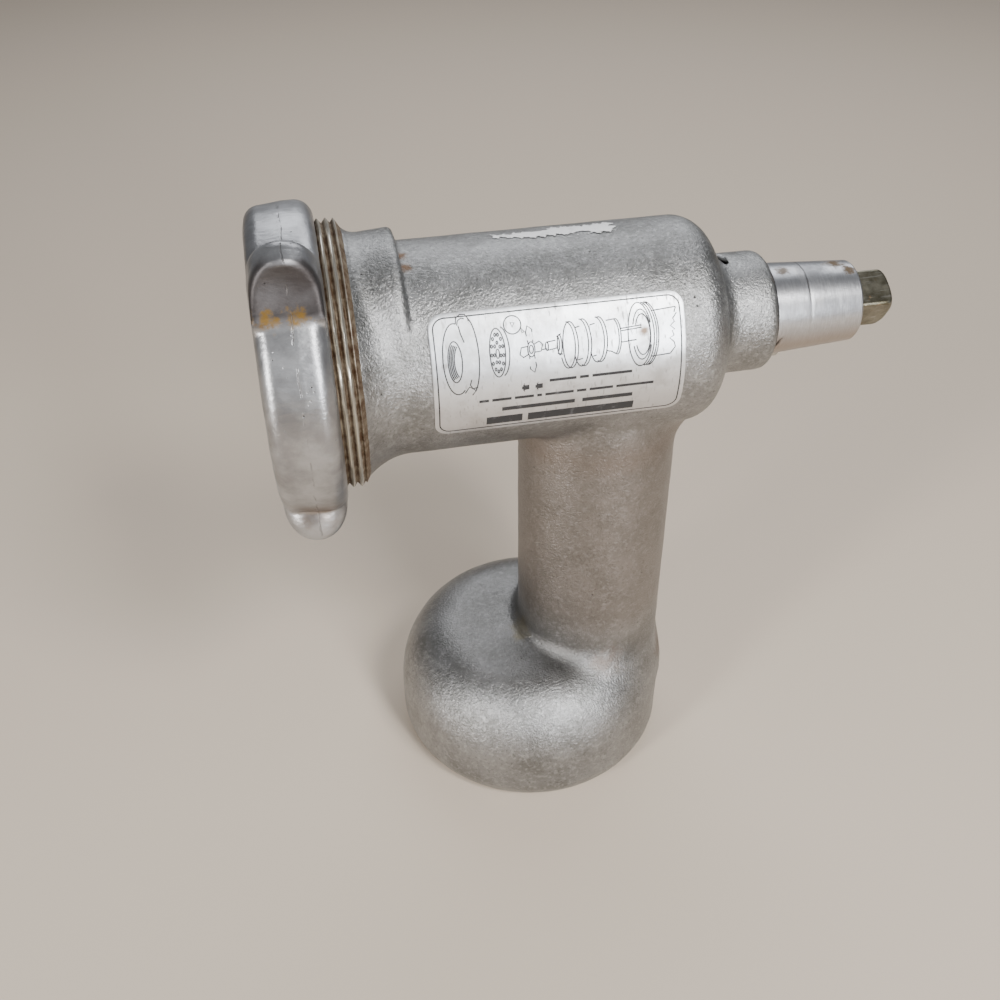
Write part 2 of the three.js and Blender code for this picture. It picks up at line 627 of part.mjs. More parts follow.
// ---------------------------------------------------------------- the drive line
function grindWorm() {
  const length = wormRearX - wormFrontX;
  const flightFront = wormFrontX + WORM_FLIGHT_ROOT / 2 + 0.4;
  const flightRear = wormRearX - WORM_FLIGHT_ROOT / 2 - 0.4;
  const travel = flightRear - flightFront;
  // The pitch opens steadily towards the feed, so the place is a quadratic in the turn.
  const growth = (WORM_PITCH_REAR - WORM_PITCH_FRONT) / WORM_TURNS;
  const unscaled = (turn) => WORM_PITCH_FRONT * turn + (growth * turn * turn) / 2;
  const place = (turn) => flightFront + (travel * unscaled(turn)) / unscaled(WORM_TURNS);
  const coreRadius = (x) => (
    WORM_CORE_FRONT + ((WORM_CORE_REAR - WORM_CORE_FRONT) * (x - wormFrontX)) / length
  );
  const section = (turn) => {
    const middle = place(turn);
    const base = coreRadius(middle) - 1.5;
    return [
      [middle - WORM_FLIGHT_ROOT / 2, base],
      [middle - WORM_FLIGHT_CREST / 2, WORM_RADIUS],
      [middle + WORM_FLIGHT_CREST / 2, WORM_RADIUS],
      [middle + WORM_FLIGHT_ROOT / 2, base],
    ];
  };
  // Left-handed: clockwise from the drive end pushes towards the plate.
  const flight = windingRidge(section, (turn) => -turn * 2 * Math.PI, 0, WORM_TURNS, SMALL_SIDES);
  const core = turned([
    [wormFrontX, 0],
    [wormFrontX, WORM_CORE_FRONT],
    [wormRearX, WORM_CORE_REAR],
    [wormRearX, 0],
  ], SMALL_SIDES);
  const shankHole = squareBar(
    wormRearX - WORM_SHANK_LENGTH - FIT_GAP, wormRearX + 1, WORM_SHANK_SQUARE + 2 * FIT_GAP, DRIVE_TURN,
  );
  const studHole = rod(
    wormFrontX - 1, wormFrontX + STUD_SHANK_LENGTH + FIT_GAP, STUD_SHANK_RADIUS + FIT_GAP, SMALL_SIDES,
  );
  return core
    .add(flight)
    .subtract(shankHole)
    .subtract(studHole)
    .translate([0, 0, AXIS_HEIGHT]);
}

function thrustWasher() {
  return turned([
    [washerFrontX, journalHole],
    [washerFrontX, WASHER_RADIUS],
    [washerRearX, WASHER_RADIUS],
    [washerRearX, journalHole],
  ], 32).translate([0, 0, AXIS_HEIGHT]);
}

function driveShaft() {
  const tipChamferX = shaftTipX - DRIVE_TIP_CHAMFER;
  const corner = (DRIVE_SQUARE / 2) * Math.SQRT2;
  const journal = rod(wormRearX + FIT_GAP, spigotEndX - 0.4, JOURNAL_RADIUS);
  const envelope = turned([
    [spigotEndX - 2, 0],
    [spigotEndX - 2, corner + 1],
    [tipChamferX, corner + 0.2],
    ...arc(
      tipChamferX, DRIVE_TIP_RADIUS, DRIVE_TIP_CHAMFER, 1.05, 0.15, 3,
    ),
    [shaftTipX, DRIVE_TIP_RADIUS],
    [shaftTipX, 0],
  ]);
  const squareEnd = squareBar(spigotEndX - 2, shaftTipX + 1, DRIVE_SQUARE, DRIVE_TURN).intersect(envelope);
  const shank = squareBar(wormRearX - WORM_SHANK_LENGTH, wormRearX + 2, WORM_SHANK_SQUARE, DRIVE_TURN);
  return journal.add(squareEnd).add(shank).translate([0, 0, AXIS_HEIGHT]);
}

function shaftBushing() {
  return turned([
    [bushingFrontX, journalHole],
    [bushingFrontX, bushingOuter],
    [bushingRearX, bushingOuter],
    [bushingRearX, journalHole],
  ]).translate([0, 0, AXIS_HEIGHT]);
}

function hubPin() {
  return turnedUpright([
    [-SPIGOT_ROOT_RADIUS - HUB_PIN_REACH, 0],
    [-SPIGOT_ROOT_RADIUS - HUB_PIN_REACH, HUB_PIN_RADIUS - 0.5],
    [-SPIGOT_ROOT_RADIUS - HUB_PIN_REACH + 0.5, HUB_PIN_RADIUS],
    [-SPIGOT_ROOT_RADIUS + HUB_PIN_DEPTH, HUB_PIN_RADIUS],
    [-SPIGOT_ROOT_RADIUS + HUB_PIN_DEPTH, 0],
  ], 12).translate([HUB_PIN_X, 0, AXIS_HEIGHT]);
}

// ---------------------------------------------------------------- the foil label
function labelPlate() {
  const inner = BARREL_RADIUS + LABEL_GAP;
  const outer = inner + LABEL_THICKNESS;
  const height = (LABEL_HIGH - LABEL_LOW) * outer;
  const steps = 14;
  const positions = [];
  const index = [];
  const columns = [];
  for (let i = 0; i <= 4; i += 1) {
    const angle = (i / 4) * (Math.PI / 2);
    columns.push([LABEL_CORNER * (1 - Math.cos(angle)), LABEL_CORNER * (1 - Math.sin(angle))]);
  }
  const stations = [
    ...columns.map(([x, inset]) => [LABEL_FRONT_X + x, inset]),
    ...columns.map(([x, inset]) => [LABEL_REAR_X - x, inset]).reverse(),
  ];
  const corner = (x, angle, radius) => [x, -radius * Math.cos(angle), radius * Math.sin(angle)];
  for (const [x, inset] of stations) {
    const low = LABEL_LOW + (inset / height) * (LABEL_HIGH - LABEL_LOW);
    const high = LABEL_HIGH - (inset / height) * (LABEL_HIGH - LABEL_LOW);
    for (const radius of [inner, outer]) {
      for (let j = 0; j <= steps; j += 1) {
        positions.push(...corner(x, low + ((high - low) * j) / steps, radius));
      }
    }
  }
  const ring = 2 * (steps + 1);
  const at = (station, layer, j) => station * ring + layer * (steps + 1) + j;
  const quad = (a, b, c, d) => index.push(a, b, c, a, c, d);
  for (let s = 0; s < stations.length - 1; s += 1) {
    for (let j = 0; j < steps; j += 1) {
      quad(at(s, 1, j), at(s + 1, 1, j), at(s + 1, 1, j + 1), at(s, 1, j + 1));
      quad(at(s, 0, j), at(s, 0, j + 1), at(s + 1, 0, j + 1), at(s + 1, 0, j));
    }
    quad(at(s, 0, 0), at(s + 1, 0, 0), at(s + 1, 1, 0), at(s, 1, 0));
    quad(at(s, 0, steps), at(s, 1, steps), at(s + 1, 1, steps), at(s + 1, 0, steps));
  }
  const last = stations.length - 1;
  for (let j = 0; j < steps; j += 1) {
    quad(at(0, 0, j), at(0, 1, j), at(0, 1, j + 1), at(0, 0, j + 1));
    quad(at(last, 0, j), at(last, 0, j + 1), at(last, 1, j + 1), at(last, 1, j));
  }
  const geometry = new THREE.BufferGeometry();
  geometry.setAttribute('position', new THREE.Float32BufferAttribute(positions, 3));
  geometry.setIndex(index);
  return toSolid(geometry).translate([0, 0, AXIS_HEIGHT]);
}

// ---------------------------------------------------------------- assembly
const finishes = {
  castAluminium: { color: 0x9a9c9b, roughness: 0.5, metalness: 0.9 },
  polishedAluminium: { color: 0xa6a9ab, roughness: 0.35, metalness: 0.95 },
  steel: { color: 0x8b8a84, roughness: 0.35, metalness: 1.0 },
  bronze: { color: 0x9c7442, roughness: 0.4, metalness: 1.0 },
  fibre: { color: 0x4a3b2e, roughness: 0.8, metalness: 0.0 },
  foil: { color: 0xc4c3bd, roughness: 0.35, metalness: 0.8 },
};

const pieces = [
  ['grinder_body', grinderBody, finishes.castAluminium],
  ['ring_nut', ringNut, finishes.polishedAluminium],
  ['grinding_plate', grindingPlate, finishes.steel],
  ['plate_key', plateKey, finishes.steel],
  ['cutter_knife', cutterKnife, finishes.steel],
  ['knife_stud', knifeStud, finishes.steel],
  ['grind_worm', grindWorm, finishes.castAluminium],
  ['thrust_washer', thrustWasher, finishes.fibre],
  ['drive_shaft', driveShaft, finishes.steel],
  ['shaft_bushing', shaftBushing, finishes.bronze],
  ['hub_pin', hubPin, finishes.steel],
  ['label_plate', labelPlate, finishes.foil],
];

const group = new THREE.Group();
group.name = 'food_grinder_attachment';
for (const [name, make, finish] of pieces) {
  const mesh = new THREE.Mesh(toGeometry(make()), new THREE.MeshStandardMaterial(finish));
  mesh.name = name;
  group.add(mesh);
}

// The origin goes to the middle of the object's base.
const middle = new THREE.Box3().setFromObject(group).getCenter(new THREE.Vector3());
group.position.set(-middle.x, -middle.y, 0);

export default group;
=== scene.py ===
"""Visual model of a cast food grinder attachment that stands on the rim of its own hopper.

Sizes are in millimetres in the barrel frame: X runs along the barrel from the feed tube's axis,
Y across it, and Z up from the floor. Bench.piece() turns them into the frame's metres.
"""
import logging
import math
from dataclasses import dataclass, field
from enum import Enum
from typing import Any, Callable, Iterable, Sequence

import bmesh
import bpy
import numpy as np
from mathutils import Matrix, Vector


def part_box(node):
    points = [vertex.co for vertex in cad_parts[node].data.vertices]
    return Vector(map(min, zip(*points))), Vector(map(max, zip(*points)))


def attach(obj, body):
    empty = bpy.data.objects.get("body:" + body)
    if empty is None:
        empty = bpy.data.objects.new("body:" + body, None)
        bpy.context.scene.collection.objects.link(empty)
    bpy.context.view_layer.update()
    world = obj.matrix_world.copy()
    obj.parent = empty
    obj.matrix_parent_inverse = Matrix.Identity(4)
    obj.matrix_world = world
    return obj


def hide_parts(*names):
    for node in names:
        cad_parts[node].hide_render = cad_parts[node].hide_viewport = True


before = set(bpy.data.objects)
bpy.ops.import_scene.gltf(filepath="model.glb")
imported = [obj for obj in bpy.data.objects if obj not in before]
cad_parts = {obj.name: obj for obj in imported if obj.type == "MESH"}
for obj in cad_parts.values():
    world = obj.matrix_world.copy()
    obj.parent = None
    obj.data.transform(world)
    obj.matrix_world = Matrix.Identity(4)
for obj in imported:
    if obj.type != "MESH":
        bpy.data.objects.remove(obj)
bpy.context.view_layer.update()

log = logging.getLogger("grinder")

MM = 0.001
TAU = 2.0 * math.pi
Place = tuple[float, float, float]
Outline = list[tuple[float, float]]
Field = Callable[[np.ndarray, np.ndarray, np.ndarray], np.ndarray]


class Body(Enum):
    """The moving bodies of the frame."""

    ROOT = "root"
    DRIVE = "drive"
    PLATE = "plate"
    RING = "ring"


class Slot(Enum):
    """The material slots of the record."""

    CAST = "cast_body"
    RING = "ring"
    WORM = "worm_metal"
    SHAFT = "shaft_steel"
    BLADE = "blade_steel"
    BUSHING = "bushing_bronze"
    WASHER = "washer_fibre"
    LABEL = "label_foil"


# ------------------------------------------------------------------ places
@dataclass(frozen=True)
class Axes:
    """Where the barrel and the feed tube stand in the frame, in millimetres."""

    tube_x: float
    axis_y: float
    axis_z: float

    @classmethod
    def from_frame(cls) -> "Axes":
        """Reads the axes from the bushing's box.

        Returns:
            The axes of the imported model.
        """
        low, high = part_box("shaft_bushing")
        bushing_rear = 83.4
        return cls(
            tube_x=high.x / MM - bushing_rear,
            axis_y=(low.y + high.y) / 2.0 / MM,
            axis_z=(low.z + high.z) / 2.0 / MM,
        )

    def to_row(self, points: np.ndarray) -> np.ndarray:
        """Barrel frame to the frame's metres."""
        return (np.asarray(points, dtype=float) + (self.tube_x, self.axis_y, 0.0)) * MM

    def around(self, x: float, degrees: float, radius: float) -> Place:
        """A point round the barrel, at an angle above the horizontal on the -Y side."""
        turn = math.radians(degrees)
        return (x, -radius * math.cos(turn), self.axis_z + radius * math.sin(turn))


AXES = Axes.from_frame()
AXIS_Z = AXES.axis_z


# ------------------------------------------------------------------ outlines and distance fields
def arc(x: float, r: float, radius: float, start: float, end: float, steps: int = 12) -> Outline:
    """Points of an arc, both ends included.

    Args:
        x: Place of its centre along the axis.
        r: Distance of its centre from the axis.
        radius: Its radius.
        start: First angle in radians.
        end: Last angle in radians.
        steps: How many straight steps stand for it.

    Returns:
        The points in order.
    """
    turns = np.linspace(start, end, steps + 1)
    return [(x + radius * math.cos(t), r + radius * math.sin(t)) for t in turns]


class OutlineField:
    """Signed distance to a closed (along, radius) outline, kept as a table."""

    STEP = 0.25

    def __init__(self, points: Outline, margin: float = 6.0) -> None:
        """Fills the table.

        Args:
            points: The closed outline. Edges on the axis aren't part of the surface.
            margin: How far the table reaches past the outline.
        """
        ring = np.asarray(points, dtype=float)
        self.low = ring.min(axis=0) - margin
        self.low[1] = 0.0
        count = np.ceil((ring.max(axis=0) + margin - self.low) / self.STEP).astype(int) + 1
        along = self.low[0] + self.STEP * np.arange(count[0])
        radius = self.STEP * np.arange(count[1])
        gx, gr = np.meshgrid(along, radius, indexing="ij")
        best = np.full(gx.shape, 1e9)
        inside = np.zeros(gx.shape, dtype=bool)
        for (x0, r0), (x1, r1) in zip(ring, np.roll(ring, -1, axis=0)):
            dx, dr = x1 - x0, r1 - r0
            span = dx * dx + dr * dr
            if span == 0.0:
                continue
            if max(r0, r1) > 1e-9:
                t = np.clip(((gx - x0) * dx + (gr - r0) * dr) / span, 0.0, 1.0)
                best = np.minimum(best, (gx - x0 - t * dx) ** 2 + (gr - r0 - t * dr) ** 2)
            if r0 != r1:
                inside ^= ((r0 > gr) != (r1 > gr)) & (gx < dx * (gr - r0) / dr + x0)
        self.table = np.where(inside, -1.0, 1.0) * np.sqrt(best)

    def __call__(self, along: np.ndarray, radius: np.ndarray) -> np.ndarray:
        """Looks the distance up between the table's entries.

        Args:
            along: Places along the axis.
            radius: Distances from the axis.

        Returns:
            Signed distances, negative inside.
        """
        u = (along - self.low[0]) / self.STEP
        v = radius / self.STEP
        cu = np.clip(u, 0.0, self.table.shape[0] - 1.001)
        cv = np.clip(v, 0.0, self.table.shape[1] - 1.001)
        i = cu.astype(int)
        j = cv.astype(int)
        fu = cu - i
        fv = cv - j
        t = self.table
        low = t[i, j] * (1.0 - fu) + t[i + 1, j] * fu
        high = t[i, j + 1] * (1.0 - fu) + t[i + 1, j + 1] * fu
        return low * (1.0 - fv) + high * fv + self.STEP * np.hypot(u - cu, v - cv)


def joined(a: np.ndarray, b: np.ndarray, fillet: np.ndarray | float) -> np.ndarray:
    """Union of two distances with a round fillet in the corner between them."""
    hollow = np.hypot(np.maximum(fillet - a, 0.0), np.maximum(fillet - b, 0.0))
    return np.maximum(fillet, np.minimum(a, b)) - hollow


def cut(a: np.ndarray, b: np.ndarray, edge: float) -> np.ndarray:
    """Distance to a with b taken away, the edge between them rounded."""
    crest = np.hypot(np.maximum(edge + a, 0.0), np.maximum(edge - b, 0.0))
    return np.minimum(-edge, np.maximum(a, -b)) + crest


def ramp(value: np.ndarray | float, start: float, end: float) -> np.ndarray:
    """A smooth step from 0 at start to 1 at end."""
    t = np.clip((np.asarray(value) - start) / (end - start), 0.0, 1.0)
    return t * t * (3.0 - 2.0 * t)


def unevenness(x: np.ndarray, y: np.ndarray, z: np.ndarray) -> np.ndarray:
    """Slow hand-finished waviness between about -1 and 1."""
    a = np.sin(0.31 * x + 0.17 * z + 1.3) * np.sin(0.27 * y - 0.21 * z + 0.4)
    b = np.sin(0.12 * x - 0.23 * y + 2.1) * np.sin(0.19 * z + 0.13 * x + 0.9)
    c = np.sin(0.63 * x + 0.55 * y) * np.sin(0.71 * z - 0.37 * x + 1.7)
    return 0.45 * a + 0.35 * b + 0.2 * c


@dataclass
class Shell:
    """A mesh as plain arrays in the barrel frame."""

    points: np.ndarray
    faces: list[Sequence[int]]


@dataclass(frozen=True)
class Mesher:
    """Turns a distance field into an even mesh of quads that lies on its surface."""

    low: Place
    high: Place
    step: float
    settle: int = 4

    def mesh(self, shape: Field) -> Shell:
        """Meshes the surface where the field is zero.

        Args:
            shape: Signed distance at x, y and z.

        Returns:
            The closed shell, its faces outwards.
        """
        axes = [np.arange(a, b + self.step, self.step) for a, b in zip(self.low, self.high)]
        values = shape(*np.meshgrid(*axes, indexing="ij"))
        cells = tuple(n - 1 for n in values.shape)
        total = np.zeros(cells + (3,))
        count = np.zeros(cells)
        index = np.meshgrid(*[np.arange(n) for n in cells], indexing="ij")
        crossings = []
        for axis in range(3):
            first = np.take(values, range(values.shape[axis] - 1), axis=axis)
            second = np.take(values, range(1, values.shape[axis]), axis=axis)
            crossed = (first < 0.0) != (second < 0.0)
            with np.errstate(divide="ignore", invalid="ignore"):
                share = np.where(crossed, first / (first - second), 0.0)
            crossings.append((crossed, first < 0.0))
            others = [a for a in range(3) if a != axis]
            for da in (0, 1):
                for db in (0, 1):
                    window = [slice(None)] * 3
                    window[others[0]] = slice(da, da + cells[others[0]])
                    window[others[1]] = slice(db, db + cells[others[1]])
                    mask = crossed[tuple(window)]
                    count += mask
                    total[..., axis] += mask * (index[axis] + share[tuple(window)])
                    total[..., others[0]] += mask * (index[others[0]] + da)
                    total[..., others[1]] += mask * (index[others[1]] + db)
        used = count > 0
        number = np.full(cells, -1)
        number[used] = np.arange(int(used.sum()))
        points = np.array(self.low) + self.step * total[used] / count[used][:, None]
        faces = self._quads(crossings, number)
        return Shell(self._settled(points, shape), faces.tolist())

    @staticmethod
    def _quads(crossings: list[tuple[np.ndarray, np.ndarray]], number: np.ndarray) -> np.ndarray:
        """One quad for each grid edge that the surface crosses.

        Args:
            crossings: For each axis, which edges are crossed and which start inside.
            number: The vertex number of each cell.

        Returns:
            The quads, one row each.
        """
        quads = []
        for axis, (crossed, starts_inside) in enumerate(crossings):
            b, c = (axis + 1) % 3, (axis + 2) % 3
            where = np.argwhere(crossed)
            where = where[(where[:, b] > 0) & (where[:, c] > 0)]
            where = where[(where[:, b] < number.shape[b]) & (where[:, c] < number.shape[c])]
            corners = []
            for db, dc in ((-1, -1), (0, -1), (0, 0), (-1, 0)):
                spot = where.copy()
                spot[:, b] += db
                spot[:, c] += dc
                corners.append(number[spot[:, 0], spot[:, 1], spot[:, 2]])
            quad = np.stack(corners, axis=1)
            outward = starts_inside[where[:, 0], where[:, 1], where[:, 2]]
            quads.append(np.where(outward[:, None], quad, quad[:, ::-1]))
        return np.vstack(quads)

    def _settled(self, points: np.ndarray, shape: Field) -> np.ndarray:
        """Moves each vertex along the field's slope onto the surface.

        Args:
            points: The vertices.
            shape: The field.

        Returns:
            The moved vertices.
        """
        reach = 0.12
        for _ in range(self.settle):
            x, y, z = points.T
            value = shape(x, y, z)
            slope = np.stack(
                [
                    shape(x + reach, y, z) - shape(x - reach, y, z),
                    shape(x, y + reach, z) - shape(x, y - reach, z),
                    shape(x, y, z + reach) - shape(x, y, z - reach),
                ],
                axis=1,
            ) / (2.0 * reach)
            size = np.maximum((slope**2).sum(axis=1), 0.25)
            move = -(value / size)[:, None] * slope
            length = np.linalg.norm(move, axis=1, keepdims=True)
            limit = 0.35 * self.step
            points = points + move * np.minimum(1.0, limit / np.maximum(length, 1e-9))
        return points


def all_round(sides: int) -> np.ndarray:
    """Even angles round the axis, as one row."""
    return np.linspace(0.0, TAU, sides, endpoint=False)[None, :]


def turned_grid(x: np.ndarray, radius: np.ndarray) -> Shell:
    """A closed shell round the barrel's axis, its outline free to change with the angle.

    Args:
        x: Places along the axis, one row for each outline point, one column for each angle.
        radius: Distances from the axis, in the same layout.

    Returns:
        The closed shell. Angles run from +Y towards +Z.
    """
    rows, sides = radius.shape
    turn = all_round(sides)
    points = np.stack([x, radius * np.cos(turn), AXIS_Z + radius * np.sin(turn)], axis=-1)
    faces = []
    for i in range(rows):
        after = (i + 1) % rows
        for j in range(sides):
            side = (j + 1) % sides
            faces.append(
                (i * sides + j, after * sides + j, after * sides + side, i * sides + side)
            )
    return Shell(points.reshape(-1, 3), faces)


def turned(points: Outline, sides: int = 96) -> Shell:
    """A closed outline revolved about the barrel's axis."""
    outline = np.asarray(points, dtype=float)
    ones = np.ones((1, sides))
    return turned_grid(outline[:, :1] * ones, np.maximum(outline[:, 1:2], 0.0) * ones)


def closed_off(x: np.ndarray, radius: np.ndarray, circles: Outline) -> Shell:
    """A turned grid whose outline goes on through plain circles.

    Args:
        x: Places along the axis, as turned_grid takes them.
        radius: Distances from the axis.
        circles: The circles as (along, radius).

    Returns:
        The closed shell.
    """
    ends = np.array(circles)[:, :, None] * np.ones((1, 1, x.shape[1]))
    return turned_grid(np.vstack([x, ends[:, 0]]), np.vstack([radius, ends[:, 1]]))


def lofted(spans: int, size: int) -> list[Sequence[int]]:
    """Quads between successive loops of corners.

    Args:
        spans: How many spans there are between the loops.
        size: Corners in a loop.

    Returns:
        The faces.
    """
    faces: list[Sequence[int]] = []
    for i in range(spans):
        for j in range(size):
            k = (j + 1) % size
            faces.append((i * size + j, i * size + k, (i + 1) * size + k, (i + 1) * size + j))
    return faces


def capped(spans: int, size: int) -> list[Sequence[int]]:
    """The same quads with a face over each end."""
    ends = [list(range(size)), list(range(spans * size, (spans + 1) * size))[::-1]]
    return lofted(spans, size) + ends


# ------------------------------------------------------------------ node trees
class Wire:
    """One output socket, with arithmetic that adds Math nodes to its tree."""

    def __init__(self, board: "Board", socket: bpy.types.NodeSocket) -> None:
        """Wraps a socket of the board."""
        self.board = board
        self.socket = socket

    def _maths(self, operation: str, *values: "Wire | float") -> "Wire":
        """Adds one Math node on these values."""
        return self.board.maths(operation, *values)

    def __add__(self, other: "Wire | float") -> "Wire":
        """Sum."""
        return self._maths("ADD", self, other)

    def __radd__(self, other: float) -> "Wire":
        """Sum, reflected."""
        return self._maths("ADD", other, self)

    def __sub__(self, other: "Wire | float") -> "Wire":
        """Difference."""
        return self._maths("SUBTRACT", self, other)

    def __rsub__(self, other: float) -> "Wire":
        """Difference, reflected."""
        return self._maths("SUBTRACT", other, self)

    def __mul__(self, other: "Wire | float") -> "Wire":
        """Product."""
        return self._maths("MULTIPLY", self, other)

    def __truediv__(self, other: "Wire | float") -> "Wire":
        """Quotient."""
        return self._maths("DIVIDE", self, other)

    def above(self, start: float, end: float) -> "Wire":
        """A smooth step from 0 at start to 1 at end, or down if end is below start."""
        lowest, highest = sorted((start, end))
        step = self.board.node(
            "ShaderNodeMapRange",
            {"interpolation_type": "SMOOTHSTEP"},
            {"Value": self, "From Min": lowest, "From Max": highest},
        )
        result = self.board.out(step, "Result")
        return result if end > start else 1.0 - result

    def largest(self, other: "Wire | float") -> "Wire":
        """The larger of the two."""
        return self._maths("MAXIMUM", self, other)

    def smallest(self, other: "Wire | float") -> "Wire":
        """The smaller of the two."""
        return self._maths("MINIMUM", self, other)


class Board:
    """A node tree and the few ways in which the finishes and tools add nodes to it."""

    def __init__(self, tree: bpy.types.NodeTree) -> None:
        """Works on this tree."""
        self.tree = tree

    def node(
        self, kind: str, settings: dict[str, Any] | None = None, inputs: dict[Any, Any] | None = None
    ) -> bpy.types.Node:
        """Adds a node.

        Args:
            kind: The node's type.
            settings: Its properties. "stops" lists a colour ramp's (place, colour) pairs.
            inputs: Values or wires for its sockets, by name or number.

        Returns:
            The node.
        """
        made = self.tree.nodes.new(kind)
        for key, value in (settings or {}).items():
            if key == "stops":
                ramp_elements = made.color_ramp.elements
                while len(ramp_elements) < len(value):
                    ramp_elements.new(0.5)
                for element, (place, colour) in zip(ramp_elements, value):
                    element.position = place
                    element.color = (*colour, 1.0)
            else:
                setattr(made, key, value)
        for key, value in (inputs or {}).items():
            self.feed(made.inputs[key], value)
        return made

    def feed(self, socket: bpy.types.NodeSocket, value: Any) -> None:
        """Links a wire to a socket, or sets the socket's own value."""
        if isinstance(value, Wire):
            self.tree.links.new(value.socket, socket)
        else:
            socket.default_value = value

    def out(self, node: bpy.types.Node, key: str | int = 0) -> Wire:
        """One output of a node as a wire."""
        return Wire(self, node.outputs[key])

    def maths(self, operation: str, *values: Wire | float) -> Wire:
        """Adds a Math node.

        Args:
            operation: What it does.
            values: Its inputs in order.

        Returns:
            Its result.
        """
        made = self.node("ShaderNodeMath", {"operation": operation}, dict(enumerate(values)))
        return self.out(made)

    def vector(self, operation: str, *values: Any, output: str = "Vector") -> Wire:
        """Adds a Vector Math node.

        Args:
            operation: What it does.
            values: Its inputs in order.
            output: Which output is wanted.

        Returns:
            That output.
        """
        made = self.node("ShaderNodeVectorMath", {"operation": operation}, dict(enumerate(values)))
        return self.out(made, output)

    def blend(self, amount: Wire | float, first: Any, second: Any, how: str = "MIX") -> Wire:
        """Mixes two colours.

        Args:
            amount: Share of the second.
            first: A wire or an (r, g, b).
            second: A wire or an (r, g, b).
            how: The blend type.

        Returns:
            The mixed colour.
        """
        made = self.node("ShaderNodeMix", {"data_type": "RGBA", "blend_type": how})
        self.feed(made.inputs[0], amount)
        for socket, value in ((made.inputs[6], first), (made.inputs[7], second)):
            self.feed(socket, value if isinstance(value, Wire) else (*value, 1.0))
        return self.out(made, 2)


